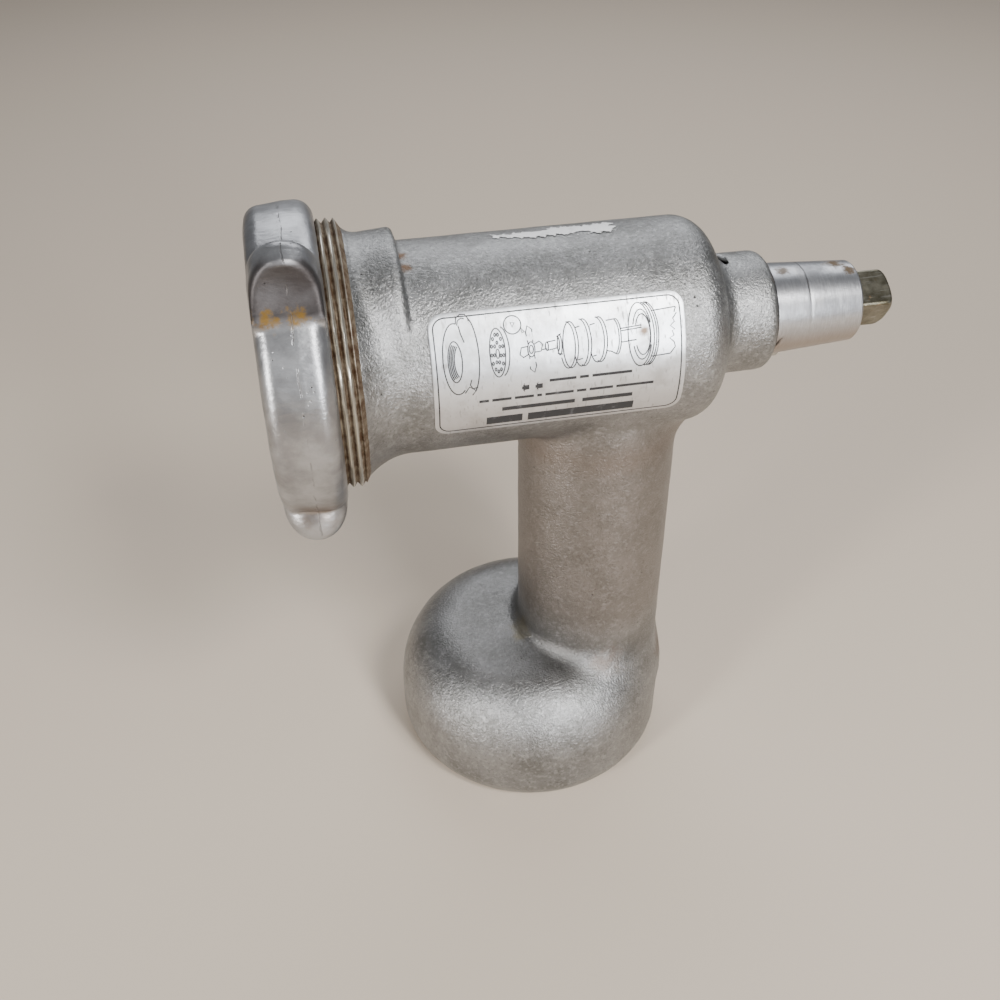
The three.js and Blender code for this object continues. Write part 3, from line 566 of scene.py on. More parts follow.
class Surface(Board):
    """A material's tree, with the patterns that the metal finishes share.

    Every pattern reads Object coordinates in metres.
    """

    def __init__(self, name: str) -> None:
        """Starts an empty material.

        Args:
            name: The material's name.
        """
        self.material = bpy.data.materials.new(name)
        self.material.use_nodes = True
        super().__init__(self.material.node_tree)
        self.tree.nodes.clear()
        self.place = self.out(self.node("ShaderNodeTexCoord"), "Object")

    def stretched(self, scale: Place, turn: Place = (0, 0, 0)) -> Wire:
        """The place, scaled differently along each axis and turned."""
        made = self.node("ShaderNodeMapping", {}, {"Vector": self.place, "Scale": scale, "Rotation": turn})
        return self.out(made)

    def clouds(
        self, size: float, detail: float = 4.0, rough: float = 0.55, place: Wire | None = None
    ) -> Wire:
        """Noise between 0 and 1 with features of about this size in millimetres."""
        made = self.node(
            "ShaderNodeTexNoise",
            {},
            {
                "Vector": place or self.place,
                "Scale": 1.0 / (size * MM),
                "Detail": detail,
                "Roughness": rough,
            },
        )
        return self.out(made, "Fac")

    def grains(self, size: float, output: str = "Distance", spread: float = 1.0) -> Wire:
        """Distance to the nearest of scattered points, in shares of their spacing."""
        made = self.node(
            "ShaderNodeTexVoronoi",
            {},
            {"Vector": self.place, "Scale": 1.0 / (size * MM), "Randomness": spread},
        )
        return self.out(made, output)

    def spot(self, centre: Place, radius: float, ragged: float = 0.6) -> Wire:
        """A soft ragged blot.

        Args:
            centre: Its middle in the barrel frame.
            radius: Its reach in millimetres.
            ragged: How much noise breaks its edge.

        Returns:
            A mask, 1 in the middle.
        """
        middle = tuple(AXES.to_row(np.array(centre)))
        distance = self.vector("DISTANCE", self.place, middle, output="Value") / (radius * MM)
        broken = distance + (self.clouds(radius * 0.55, 5.0, 0.65) - 0.5) * (2.0 * ragged)
        return broken.above(1.0, 0.25)

    def line(self, start: Place, end: Place, width: float) -> Wire:
        """A thin line between two points.

        Args:
            start: One end in the barrel frame.
            end: The other end.
            width: Its half width in millimetres.

        Returns:
            A mask, 1 on the line.
        """
        a = Vector(AXES.to_row(np.array(start)))
        along = Vector(AXES.to_row(np.array(end))) - a
        offset = self.vector("SUBTRACT", self.place, tuple(a))
        share = self.vector("DOT_PRODUCT", offset, tuple(along / along.length_squared), output="Value")
        held = share.largest(0.0).smallest(1.0)
        nearest = self.vector("SCALE", tuple(along))
        self.feed(nearest.socket.node.inputs["Scale"], held)
        gap = self.vector("DISTANCE", offset, nearest, output="Value")
        return gap.above(width * MM, 0.3 * width * MM)

    def from_axis(self) -> Wire:
        """Distance from the barrel's axis in millimetres."""
        flat = self.vector(
            "MULTIPLY", self.vector("SUBTRACT", self.place, (0.0, AXES.axis_y * MM, AXIS_Z * MM)), (0, 1, 1)
        )
        return self.vector("LENGTH", flat, output="Value") * (1.0 / MM)

    def along(self, axis: str = "X") -> Wire:
        """One coordinate in millimetres of the barrel frame."""
        made = self.node("ShaderNodeSeparateXYZ", {}, {0: self.place})
        shift = {"X": AXES.tube_x, "Y": AXES.axis_y, "Z": 0.0}[axis]
        return self.out(made, axis) * (1.0 / MM) - shift

    def bump(self, height: Wire, depth: float, under: Wire | None = None) -> Wire:
        """A bump of this depth in millimetres, on top of another if one is given."""
        made = self.node("ShaderNodeBump", {}, {"Height": height, "Distance": depth * MM})
        if under is not None:
            self.feed(made.inputs["Normal"], under)
        return self.out(made, "Normal")

    def shader(self, colour: Any, roughness: Any, normal: Wire | None, **constants: Any) -> bpy.types.Material:
        """Closes the tree with one Principled shader.

        Args:
            colour: Base colour as a wire or an (r, g, b).
            roughness: Roughness as a wire or a number.
            normal: The bumped normal.
            constants: Other sockets by name, with _ for a space.

        Returns:
            The finished material.
        """
        made = self.node("ShaderNodeBsdfPrincipled")
        self.feed(made.inputs["Base Color"], colour if isinstance(colour, Wire) else (*colour, 1.0))
        self.feed(made.inputs["Roughness"], roughness)
        if normal is not None:
            self.feed(made.inputs["Normal"], normal)
        for key, value in constants.items():
            self.feed(made.inputs[key.replace("_", " ")], value)
        self.node("ShaderNodeOutputMaterial", {}, {"Surface": self.out(made)})
        return self.material


# ------------------------------------------------------------------ finishes
Colour = tuple[float, float, float]


@dataclass(frozen=True)
class CastAluminium:
    """Sand-cast aluminium: dull grey, grainy and pitted, with brown staining in its corners."""

    name: str = "sand_cast_aluminium"
    light: Colour = (0.33, 0.33, 0.33)
    dark: Colour = (0.20, 0.20, 0.195)
    # Colour of the painted warm reflection on the feed tube and the barrel's underside.
    painted_warm_reflection: Colour = (0.19, 0.145, 0.115)
    rust: Colour = (0.16, 0.075, 0.025)
    grain_size: float = 0.75
    grain_depth: float = 0.32

    def material(self) -> bpy.types.Material:
        """Builds the material.

        Returns:
            The finished material.
        """
        s = Surface(self.name)
        mottle = s.clouds(14.0, 5.0, 0.6)
        fine = s.clouds(1.6, 3.0, 0.6)
        colour = s.blend(mottle.above(0.3, 0.7), self.dark, self.light)
        colour = s.blend(fine.above(0.45, 0.75) * 0.45, colour, (0.56, 0.56, 0.56))
        speckle = s.clouds(0.9, 2.0, 0.5).above(0.58, 0.7)
        colour = s.blend(speckle * 0.5, colour, (0.12, 0.12, 0.12))
        # Painted warm reflection: the feed tube and the underside of the barrel are painted warmer and duller
        # than the rest.
        height = s.along("Z")
        warm = height.above(45.0, 70.0) * height.above(152.0, 132.0)
        under = height.above(168.0, 142.0) * height.above(128.0, 140.0)
        colour = s.blend((warm * 0.45 + under * 0.28) * (0.45 + mottle), colour, self.painted_warm_reflection)
        # Shade in the corner between the tube and the hopper.
        corner = height.above(41.5, 46.0) * height.above(57.0, 49.0)
        colour = s.blend(corner * 0.5, colour, (0.13, 0.125, 0.12))
        olive = s.spot((-25.0, -5.0, 45.5), 9.0, 0.9)
        colour = s.blend(olive * 0.45, colour, (0.24, 0.20, 0.11))
        stains = s.spot(AXES.around(-63.6, 84.0, 34.0), 3.2)
        stains = stains.largest(s.spot(AXES.around(-62.6, 74.0, 33.6), 2.6))
        joint = s.spot((0.0, -24.0, 44.0), 11.0, 0.9) * 0.5
        stains = stains.largest(joint).largest(s.spot((26.0, -12.0, 35.0), 9.0, 0.9) * 0.45)
        stains = stains.largest(s.spot(AXES.around(54.0, 60.0, 18.5), 3.0) * 0.6)
        colour = s.blend(stains * 0.75, colour, self.rust)
        pits = s.grains(4.1).above(0.10, 0.04) * s.clouds(9.0, 3.0).above(0.5, 0.62)
        # Painted shade: the inside of the weep slot, and the chamber and bores behind it, are painted near
        # black.
        weep_slot_shade = s.from_axis().above(18.6, 17.8) * s.along("X").above(33.0, 35.0)
        weep_slot_shade = weep_slot_shade.largest(s.spot((37.1, 2.5, AXIS_Z + 16.5), 3.7, 0.1))
        colour = s.blend((pits * 0.85).largest(weep_slot_shade), colour, (0.02, 0.018, 0.016))
        scratch = s.line((-6.0, -49.0, 30.0), (7.5, -42.5, 37.5), 0.35)
        scratch = scratch.largest(s.line((-44.0, -34.0, 36.0), (-35.0, -38.0, 34.0), 0.3))
        colour = s.blend(scratch * 0.4, colour, (0.8, 0.8, 0.8))
        seam = s.line((-28.2, 8.3, 46.2), (-19.1, -19.5, 40.8), 0.7)
        seam = seam.largest(s.line((-19.1, -19.5, 40.8), (-4.3, -23.5, 36.6), 0.7))
        sand = s.clouds(self.grain_size, 3.0, 0.62)
        normal = s.bump(sand, self.grain_depth)
        normal = s.bump(s.clouds(5.5, 3.0, 0.5), 0.12, normal)
        normal = s.bump(pits * -1.0 + seam * 0.9 - scratch * 0.25, 0.22, normal)
        rough = 0.30 + fine * 0.12 + stains * 0.25
        return s.shader(colour, rough, normal, Metallic=0.93)


@dataclass(frozen=True)
class RubbedAluminium:
    """The ring's hand-rubbed aluminium: smoother, wrinkled, and stained under its lugs."""

    name: str = "rubbed_aluminium"
    light: Colour = (0.46, 0.465, 0.48)
    dark: Colour = (0.29, 0.29, 0.30)
    amber: Colour = (0.23, 0.135, 0.03)
    ring_x: float = -97.4
    lug_angles: tuple[float, ...] = (62.5, -57.5, 182.5)

    def material(self) -> bpy.types.Material:
        """Builds the material.

        Returns:
            The finished material.
        """
        s = Surface(self.name)
        mottle = s.clouds(11.0, 5.0, 0.6)
        colour = s.blend(mottle.above(0.32, 0.68), self.dark, self.light)
        wrinkles = s.clouds(2.6, 4.0, 0.6, s.stretched((0.6, 1.5, 1.5)))
        colour = s.blend(wrinkles.above(0.56, 0.74) * 0.4, colour, (0.34, 0.335, 0.33))
        stains = None
        for angle in self.lug_angles:
            for shift, reach in ((-5.6, 3.9), (2.6, 3.6)):
                blot = s.spot(AXES.around(self.ring_x + shift, angle - 18.5, 47.2), reach, 1.3)
                stains = blot if stains is None else stains.largest(blot)
        height = s.along("Z")
        # Painted shade: the face under the upper front lug and the ring just below it are painted near black.
        painted_lug_shade = height.above(AXIS_Z + 30.0, AXIS_Z + 34.0) * height.above(AXIS_Z + 49.5, AXIS_Z + 46.0)
        painted_lug_shade = painted_lug_shade * s.along("Y").above(-26.0, -29.0) * s.from_axis().above(46.4, 47.6)
        painted_lug_shade = painted_lug_shade * (0.62 + mottle * 0.6).smallest(1.0)
        colour = s.blend(painted_lug_shade * 0.93, colour, (0.035, 0.027, 0.025))
        colour = s.blend(stains * 0.85, colour, self.amber)
        low = s.spot(AXES.around(self.ring_x, -46.0, 48.0), 11.0, 0.5)
        colour = s.blend(low * 0.55, colour, (0.17, 0.10, 0.045))
        pits = s.grains(2.3).above(0.13, 0.06) * s.clouds(10.0, 3.0).above(0.52, 0.64)
        colour = s.blend(pits * 0.9, colour, (0.03, 0.028, 0.026))
        wander = s.along("X") + (s.clouds(9.0, 3.0) - 0.5) * 2.4 - (self.ring_x + 0.6)
        outside = s.from_axis().above(44.0, 46.0)
        broken = s.clouds(6.0, 3.0).above(0.42, 0.6)
        seam = (wander * wander).above(0.10, 0.01) * outside * broken
        colour = s.blend(seam * 0.4, colour, (0.14, 0.13, 0.12))
        normal = s.bump(wrinkles, 0.16)
        normal = s.bump(s.clouds(9.0, 2.0), 0.14, normal)
        normal = s.bump(seam * -1.0 - pits, 0.16, normal)
        rough = 0.29 + mottle * 0.14 + stains * 0.2 + painted_lug_shade * 0.2
        return s.shader(colour, rough, normal, Metallic=0.95)


@dataclass(frozen=True)
class ScrewThread:
    """Machined thread: bright crests over grooves full of brown dirt."""

    name: str = "dirty_screw_thread"
    root: float = 40.0
    crest: float = 41.6
    bright: Colour = (0.62, 0.59, 0.52)
    groove: Colour = (0.06, 0.028, 0.010)

    def material(self) -> bpy.types.Material:
        """Builds the material.

        Returns:
            The finished material.
        """
        s = Surface(self.name)
        depth = (s.from_axis() - self.root) * (1.0 / (self.crest - self.root))
        dirt = s.clouds(3.0, 5.0, 0.7)
        crest = (depth + (dirt - 0.5) * 0.5).above(0.35, 0.85)
        floor = s.blend(dirt.above(0.35, 0.7), self.groove, (0.21, 0.17, 0.12))
        colour = s.blend(crest, floor, self.bright)
        inside = s.from_axis().above(38.0, 36.5)
        colour = s.blend(inside, colour, s.blend(dirt, (0.30, 0.28, 0.25), (0.5, 0.49, 0.47)))
        normal = s.bump(s.clouds(0.8, 3.0), 0.06)
        return s.shader(colour, 0.62 - crest * 0.32, normal, Metallic=0.45 + crest * 0.5)


@dataclass(frozen=True)
class TurnedAluminium:
    """Lathe-turned aluminium with fine tool lines, worn and stained towards its ends."""

    name: str = "turned_aluminium"
    light: Colour = (0.52, 0.53, 0.55)
    dark: Colour = (0.38, 0.38, 0.40)
    stain: Colour = (0.13, 0.085, 0.04)

    def material(self) -> bpy.types.Material:
        """Builds the material.

        Returns:
            The finished material.
        """
        s = Surface(self.name)
        lines = s.clouds(1.0, 3.0, 0.6, s.stretched((3.2, 0.3, 0.3)))
        bands = s.clouds(1.0, 2.0, 0.5, s.stretched((0.35, 0.02, 0.02)))
        worn = s.clouds(7.0, 5.0, 0.65)
        colour = s.blend(lines.above(0.2, 0.8), self.dark, self.light)
        colour = s.blend(bands.above(0.45, 0.7) * 0.2, colour, (0.36, 0.36, 0.37))
        colour = s.blend(worn.above(0.55, 0.8) * 0.3, colour, (0.55, 0.52, 0.47))
        stains = s.spot(AXES.around(78.0, 96.0, 13.6), 5.0, 1.1).largest(
            s.spot(AXES.around(81.0, 76.0, 13.4), 3.0, 1.0)
        )
        stains = stains.largest(s.spot(AXES.around(58.5, 82.0, 15.0), 3.2, 1.0) * 0.8)
        colour = s.blend(stains * 0.9, colour, self.stain)
        shade = s.spot(AXES.around(69.0, 74.0, 14.4), 7.5, 1.1) * 0.6
        colour = s.blend(shade, colour, (0.18, 0.18, 0.19))
        # Painted shade and warm reflection: the lower half of the spigot is painted darker and browner.
        low = s.along("Z").above(AXIS_Z + 1.0, AXIS_Z - 8.0)
        colour = s.blend(low * 0.6, colour, (0.33, 0.235, 0.165))
        girth = s.along("X") + (s.clouds(6.0, 2.0) - 0.5) * 1.4 - 65.6
        score = (girth * girth).above(0.12, 0.01) * s.along("Z").above(AXIS_Z + 6.0, AXIS_Z + 10.0)
        # Painted shadow: a near-black line along the nick beside the collar.
        nick = s.line(AXES.around(53.6, -40.0, 15.0), AXES.around(56.2, -14.0, 14.8), 0.75)
        colour = s.blend((score * 0.6).largest(nick), colour, (0.045, 0.038, 0.032))
        normal = s.bump(lines, 0.022)
        normal = s.bump(worn - score * 0.6 - nick, 0.08, normal)
        rough = 0.25 + lines * 0.12 + stains * 0.3 + shade * 0.2
        return s.shader(colour, rough, normal, Metallic=0.97)


@dataclass(frozen=True)
class WornSteel:
    """Tinned or bare steel with dull patches, fine scratches and freckles of rust."""

    name: str
    light: Colour = (0.52, 0.505, 0.47)
    dark: Colour = (0.33, 0.315, 0.275)
    freckle: Colour = (0.20, 0.10, 0.04)
    freckles: float = 0.5
    gloss: float = 0.30

    def material(self) -> bpy.types.Material:
        """Builds the material.

        Returns:
            The finished material.
        """
        s = Surface(self.name)
        patches = s.clouds(5.0, 5.0, 0.65)
        scratches = s.clouds(1.2, 2.0, 0.5, s.stretched((0.25, 2.2, 0.7), (0.5, 0.3, 0.9)))
        colour = s.blend(patches.above(0.3, 0.7), self.dark, self.light)
        colour = s.blend(scratches.above(0.55, 0.75) * 0.35, colour, (0.66, 0.65, 0.62))
        spots = s.grains(2.4).above(0.28, 0.1) * s.clouds(8.0, 3.0).above(0.48, 0.62)
        spots = spots.largest(s.clouds(3.6, 5.0, 0.7).above(0.62, 0.74)) * self.freckles
        colour = s.blend(spots, colour, self.freckle)
        normal = s.bump(scratches, 0.03)
        normal = s.bump(patches + spots, 0.07, normal)
        return s.shader(colour, self.gloss + patches * 0.2 + spots * 0.25, normal, Metallic=0.96)


@dataclass(frozen=True)
class Bronze:
    """Oil-stained sintered bronze."""

    name: str = "oiled_bronze"

    def material(self) -> bpy.types.Material:
        """Builds the material.

        Returns:
            The finished material.
        """
        s = Surface(self.name)
        cloud = s.clouds(4.0, 5.0, 0.6)
        lines = s.clouds(1.0, 2.0, 0.6, s.stretched((2.4, 0.05, 0.05)))
        colour = s.blend(cloud.above(0.3, 0.7), (0.20, 0.12, 0.055), (0.52, 0.34, 0.15))
        normal = s.bump(lines, 0.04)
        return s.shader(colour, 0.3 + cloud * 0.2, normal, Metallic=0.95)


@dataclass(frozen=True)
class Fibre:
    """Pressed brown fibre, soaked with grease."""

    name: str = "pressed_fibre"

    def material(self) -> bpy.types.Material:
        """Builds the material.

        Returns:
            The finished material.
        """
        s = Surface(self.name)
        strands = s.clouds(0.9, 4.0, 0.7, s.stretched((0.4, 1.6, 1.0)))
        colour = s.blend(strands, (0.05, 0.03, 0.018), (0.17, 0.11, 0.065))
        normal = s.bump(strands, 0.08)
        return s.shader(colour, 0.55 + strands * 0.2, normal)


@dataclass(frozen=True)
class Foil:
    """Bare aluminium foil of the label: bright, crinkled and scratched, brown at one spot."""

    name: str = "label_foil"
    silver: Colour = (0.72, 0.74, 0.77)
    worn: Colour = (0.46, 0.46, 0.46)

    def material(self) -> bpy.types.Material:
        """Builds the material.

        Returns:
            The finished material.
        """
        s = Surface(self.name)
        crinkle = s.clouds(2.4, 4.0, 0.65)
        rubbed = s.clouds(9.0, 5.0, 0.65)
        colour = s.blend(rubbed.above(0.42, 0.72) * 0.8, self.silver, self.worn)
        # Painted warm reflection and shade: the lower part of the label is painted darker and warmer.
        low = s.along("Z").above(AXIS_Z + 6.0, AXIS_Z - 12.0)
        colour = s.blend(low * 0.4, colour, (0.46, 0.41, 0.38))
        scratches = s.clouds(1.4, 2.0, 0.4, s.stretched((1.7, 0.3, 0.5), (0.2, 0.8, 0.5)))
        scratches = scratches.above(0.62, 0.72)
        colour = s.blend(scratches * 0.5, colour, (0.34, 0.33, 0.32))
        brown = s.spot(AXES.around(4.2, 26.0, 33.5), 2.1, 0.4).largest(
            s.spot(AXES.around(-55.6, 19.0, 33.5), 1.6, 0.9) * 0.45
        )
        colour = s.blend(brown * 0.9, colour, (0.10, 0.055, 0.025))
        normal = s.bump(crinkle, 0.05)
        normal = s.bump(s.clouds(8.0, 2.0), 0.1, normal)
        rough = 0.26 + rubbed * 0.2 + scratches * 0.15
        return s.shader(colour, rough, normal, Metallic=0.9)


@dataclass(frozen=True)
class Ink:
    """Dark printing ink, rubbed thin in places."""

    name: str = "printing_ink"

    def material(self) -> bpy.types.Material:
        """Builds the material.

        Returns:
            The finished material.
        """
        s = Surface(self.name)
        rubbed = s.clouds(2.2, 4.0, 0.65)
        colour = s.blend(rubbed.above(0.55, 0.8) * 0.7, (0.018, 0.018, 0.02), (0.16, 0.16, 0.165))
        return s.shader(colour, 0.4 + rubbed * 0.2, None, Metallic=0.1)


@dataclass(frozen=True)
class TornPaper:
    """White paper left where a sticker was torn off."""

    name: str = "torn_paper"

    def material(self) -> bpy.types.Material:
        """Builds the material.

        Returns:
            The finished material.
        """
        s = Surface(self.name)
        fibres = s.clouds(0.8, 4.0, 0.7, s.stretched((0.5, 1.3, 1.3)))
        thin = s.clouds(3.5, 4.0, 0.6)
        colour = s.blend(thin.above(0.5, 0.75) * 0.6, (0.86, 0.86, 0.87), (0.6, 0.6, 0.61))
        return s.shader(colour, 0.78 + fibres * 0.15, s.bump(fibres, 0.12))


@dataclass(frozen=True)
class StudioFloor:
    """Plain pale floor, a touch warm."""

    name: str = "studio_floor"
    colour: Colour = (0.56, 0.475, 0.385)

    def material(self) -> bpy.types.Material:
        """Builds the material."""
        s = Surface(self.name)
        return s.shader(self.colour, 0.7, None)


# ------------------------------------------------------------------ the bench
@dataclass
class Bench:
    """Turns shells into pieces that ride on the frame, and keeps one material per finish."""

    made: dict[Any, bpy.types.Material] = field(default_factory=dict)

    def dressing(self, finish: Any) -> bpy.types.Material:
        """The material of a finish, built once."""
        if finish not in self.made:
            self.made[finish] = finish.material()
        return self.made[finish]

    def blank(self, name: str, shell: Shell, sharp: float = 40.0, weld: float = 1e-5) -> bpy.types.Object:
        """Makes an object of a shell, at the origin.

        Args:
            name: The piece's name.
            shell: Its faces in the barrel frame.
            sharp: Angle in degrees past which an edge stays sharp.
            weld: Distance in metres within which corners are merged.

        Returns:
            The object.
        """
        mesh = bpy.data.meshes.new(name)
        mesh.from_pydata(AXES.to_row(shell.points).tolist(), [], shell.faces)
        work = bmesh.new()
        work.from_mesh(mesh)
        bmesh.ops.remove_doubles(work, verts=work.verts, dist=weld)
        bmesh.ops.dissolve_degenerate(work, edges=work.edges, dist=weld * 0.1)
        bmesh.ops.recalc_face_normals(work, faces=work.faces)
        work.to_mesh(mesh)
        work.free()
        return self._placed(name, mesh, sharp)

    @staticmethod
    def _placed(name: str, mesh: bpy.types.Mesh, sharp: float) -> bpy.types.Object:
        """Smooths a mesh up to its sharp edges and puts it in the scene.

        Args:
            name: The object's name.
            mesh: The mesh.
            sharp: Angle in degrees past which an edge stays sharp.

        Returns:
            The object.
        """
        mesh.shade_smooth()
        mesh.set_sharp_from_angle(angle=math.radians(sharp))
        made = bpy.data.objects.new(name, mesh)
        bpy.context.scene.collection.objects.link(made)
        return made

    def baked(self, name: str, source: bpy.types.Object, sharp: float = 40.0) -> bpy.types.Object:
        """Turns an object with live Geometry Nodes into a plain piece and drops the source.

        Args:
            name: The piece's name.
            source: The object with the modifier.
            sharp: Angle in degrees past which an edge stays sharp.

        Returns:
            The plain object.
        """
        graph = bpy.context.evaluated_depsgraph_get()
        mesh = bpy.data.meshes.new_from_object(source.evaluated_get(graph))
        source.modifiers.clear()
        bpy.data.objects.remove(source)
        work = bmesh.new()
        work.from_mesh(mesh)
        bmesh.ops.remove_doubles(work, verts=work.verts, dist=1e-6)
        bmesh.ops.recalc_face_normals(work, faces=work.faces)
        work.to_mesh(mesh)
        work.free()
        mesh.name = name
        return self._placed(name, mesh, sharp)

    def finish(
        self, made: bpy.types.Object, finish: Any, body: Body, slot: Slot, nodes: Iterable[str] = ()
    ) -> bpy.types.Object:
        """Dresses a piece and ties it to the frame.

        Args:
            made: The piece.
            finish: Its finish.
            body: The body that it rides on.
            slot: The record's material slot; not used.
            nodes: CAD nodes that it stands for.

        Returns:
            The same piece.
        """
        made.data.materials.clear()
        made.data.materials.append(self.dressing(finish))
        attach(made, body.value)
        for node in nodes:
            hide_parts(node)
        made.data.calc_loop_triangles()
        log.info("%s: %d triangles, rides on %s", made.name, len(made.data.loop_triangles), body.value)
        return made

    def piece(
        self,
        name: str,
        shell: Shell,
        finish: Any,
        body: Body,
        slot: Slot,
        nodes: Iterable[str] = (),
        sharp: float = 40.0,
    ) -> bpy.types.Object:
        """Makes and finishes a piece in one go.

        Args:
            name: The piece's name.
            shell: Its faces.
            finish: Its finish.
            body: The body that it rides on.
            slot: The record's material slot.
            nodes: CAD nodes that it stands for.
            sharp: Angle in degrees past which an edge stays sharp.

        Returns:
            The piece.
        """
        return self.finish(self.blank(name, shell, sharp), finish, body, slot, nodes)


# ------------------------------------------------------------------ the casting
@dataclass(frozen=True)
class Casting:
    """The one-piece aluminium casting: barrel, feed tube, hopper and collar."""

    bench: Bench
    barrel_radius: float = 33.05
    bore: float = 28.5
    flare_radius: float = 20.5
    flare_crest: float = 39.9
    flare_end_x: float = -65.62
    shoulder_x: float = 23.4
    shoulder_round: float = 10.6
    collar_radius: float = 19.4
    collar_fillet: float = 6.5
    collar_round: float = 3.7
    collar_end: float = 53.6
    journal_hole: float = 10.1
    weep_chamber: Place = (28.9, 46.1, 14.0)
    bushing_hole: float = 11.6
    tube_radius: float = 26.9
    tube_wall: float = 4.0
    hopper_x: float = -22.9
    rim_radius: float = 47.9
    belly_radius: float = 50.8
    belly_height: float = 7.0
    hopper_height: float = 46.0
    shoulder_width: float = 22.0
    shoulder_height: float = 27.0
    wall: float = 3.6
    pad_radius: float = 30.5
    pad_height: float = 5.0
    pad_rear_x: float = -64.3
    pad_front_x: float = -82.0
    pad_round: float = 1.8
    pad_draft: float = 0.07
    slot_start: tuple[float, float] = (35.6, 4.6)
    slot_end: tuple[float, float] = (39.0, -0.4)
    slot_half_width: float = 1.7
    slot_floor: float = 8.0
    step: float = 1.5

    def _barrel(self) -> Outline:
        """Outline of the barrel, its flare, shoulder and collar.

        Returns:
            The closed outline.
        """
        rise = self.flare_crest - self.barrel_radius
        reach = math.sqrt(self.flare_radius**2 - (self.flare_radius - rise) ** 2)
        start = math.pi + math.acos(reach / self.flare_radius)
        flare_r = self.barrel_radius + self.flare_radius
        centre = self.barrel_radius - self.shoulder_round
        fillet_r = self.collar_radius + self.collar_fillet
        both = self.shoulder_round + self.collar_fillet
        lean = math.asin((fillet_r - centre) / both)
        fillet_x = self.shoulder_x + both * math.cos(lean)
        rear = self.collar_round
        return [
            (self.flare_end_x - reach, 0.0),
            *arc(self.flare_end_x, flare_r, self.flare_radius, start, 1.5 * math.pi, 24),
            *arc(self.shoulder_x, centre, self.shoulder_round, math.pi / 2, lean, 24),
            *arc(fillet_x, fillet_r, self.collar_fillet, math.pi + lean, 1.5 * math.pi, 14),
            *arc(self.collar_end - rear, self.collar_radius - rear, rear, math.pi / 2, 0.0, 12),
            (self.collar_end, 0.0),
        ]

    def _hopper(self, wall: float, lowest: float) -> Outline:
        """Outline of the hopper, or of the space in it when its wall is taken off.

        Args:
            wall: What is taken off.
            lowest: Where it starts.

        Returns:
            The closed outline as (height, radius).
        """
        belly = self.belly_radius - wall
        rim = self.rim_radius - wall
        top = self.hopper_height - wall
        points = [(lowest, 0.0), (lowest, rim)]
        for share in np.linspace(0.0, 1.0, 10):
            points.append((self.belly_height * share, rim + (belly - rim) * math.sin(share * math.pi / 2)))
        for turn in np.linspace(0.0, math.pi / 2, 28):
            points.append(
                (
                    top - self.shoulder_height * (1.0 - math.sin(turn)),
                    belly - self.shoulder_width * (1.0 - math.cos(turn)),
                )
            )
        points.append((top, 0.0))
        return points

    def _bores(self) -> Outline:
        """Outline of everything that is bored along the barrel.

        Returns:
            The closed outline.
        """
        front, rear, wide = self.weep_chamber
        return [
            (-90.0, 0.0),
            (-90.0, self.bore),
            (self.shoulder_x, self.bore),
            (self.shoulder_x, self.journal_hole),
            (front, self.journal_hole),
            (front, wide),
            (rear, wide),
            (rear, self.bushing_hole),
            (60.0, self.bushing_hole),
            (60.0, 0.0),
        ]

    def _pad(self, x: np.ndarray, y: np.ndarray, z: np.ndarray) -> np.ndarray:
        """Distance to the thick patch on the barrel behind the thread.

        Args:
            x: Places along the barrel.
            y: Places across it.
            z: Heights.

        Returns:
            Signed distances.
        """
        rise = self.barrel_radius + self.pad_height - self.pad_radius
        draft = self.pad_draft * (x - self.pad_rear_x)
        disc = np.hypot(y, z - AXIS_Z - rise) - self.pad_radius - draft
        return cut(np.maximum(disc, self.pad_front_x - x), self.pad_rear_x - x, self.pad_round)

    def shape(self) -> Field:
        """The casting as one distance field.

        Returns:
            The field.
        """
        barrel = OutlineField(self._barrel())
        hopper = OutlineField(self._hopper(0.0, 0.0))
        dish = OutlineField(self._hopper(self.wall, -6.0))
        bores = OutlineField(self._bores())
        slot_start = np.array(self.slot_start)
        slot_along = np.array(self.slot_end) - slot_start

        def distance(x: np.ndarray, y: np.ndarray, z: np.ndarray) -> np.ndarray:
            """Signed distance to the casting."""
            ring = np.hypot(y, z - AXIS_Z)
            column = np.hypot(x, y)
            bell = np.hypot(x - self.hopper_x, y)
            outside = joined(barrel(x, ring), self._pad(x, y, z), 1.2)
            tube = np.maximum(np.maximum(column - self.tube_radius, z - AXIS_Z), 30.0 - z)
            foot = joined(tube, hopper(z, bell), 5.0 + 4.0 * ramp(x, -30.0, 10.0))
            outside = joined(outside, foot, 2.6 + 8.4 * ramp(x, 8.0, 25.0) * ramp(np.abs(y), 22.0, 6.0))
            outside = outside - 0.09 * unevenness(x, y, z)
            throat = np.maximum(column - self.tube_radius + self.tube_wall, z - AXIS_Z)
            throat = np.maximum(throat, 28.0 - z)
            space = np.minimum(bores(x, ring), joined(throat, dish(z, bell), 3.0))
            dx, dy = x - slot_start[0], y - slot_start[1]
            share = np.clip((dx * slot_along[0] + dy * slot_along[1]) / (slot_along**2).sum(), 0.0, 1.0)
            slot = np.hypot(dx - share * slot_along[0], dy - share * slot_along[1])
            slot = np.maximum(slot - self.slot_half_width, AXIS_Z + self.slot_floor - z)
            return cut(cut(outside, space, 0.8), slot, 0.5)

        return distance

    def build(self) -> None:
        """Makes the casting."""
        mesher = Mesher((-86.1, -53.4, -1.6), (58.5, 53.5, AXIS_Z + 45.0), self.step)
        shell = mesher.mesh(self.shape())
        self.bench.piece(
            "body_casting", shell, CastAluminium(), Body.ROOT, Slot.CAST, ["grinder_body"], sharp=60.0
        )


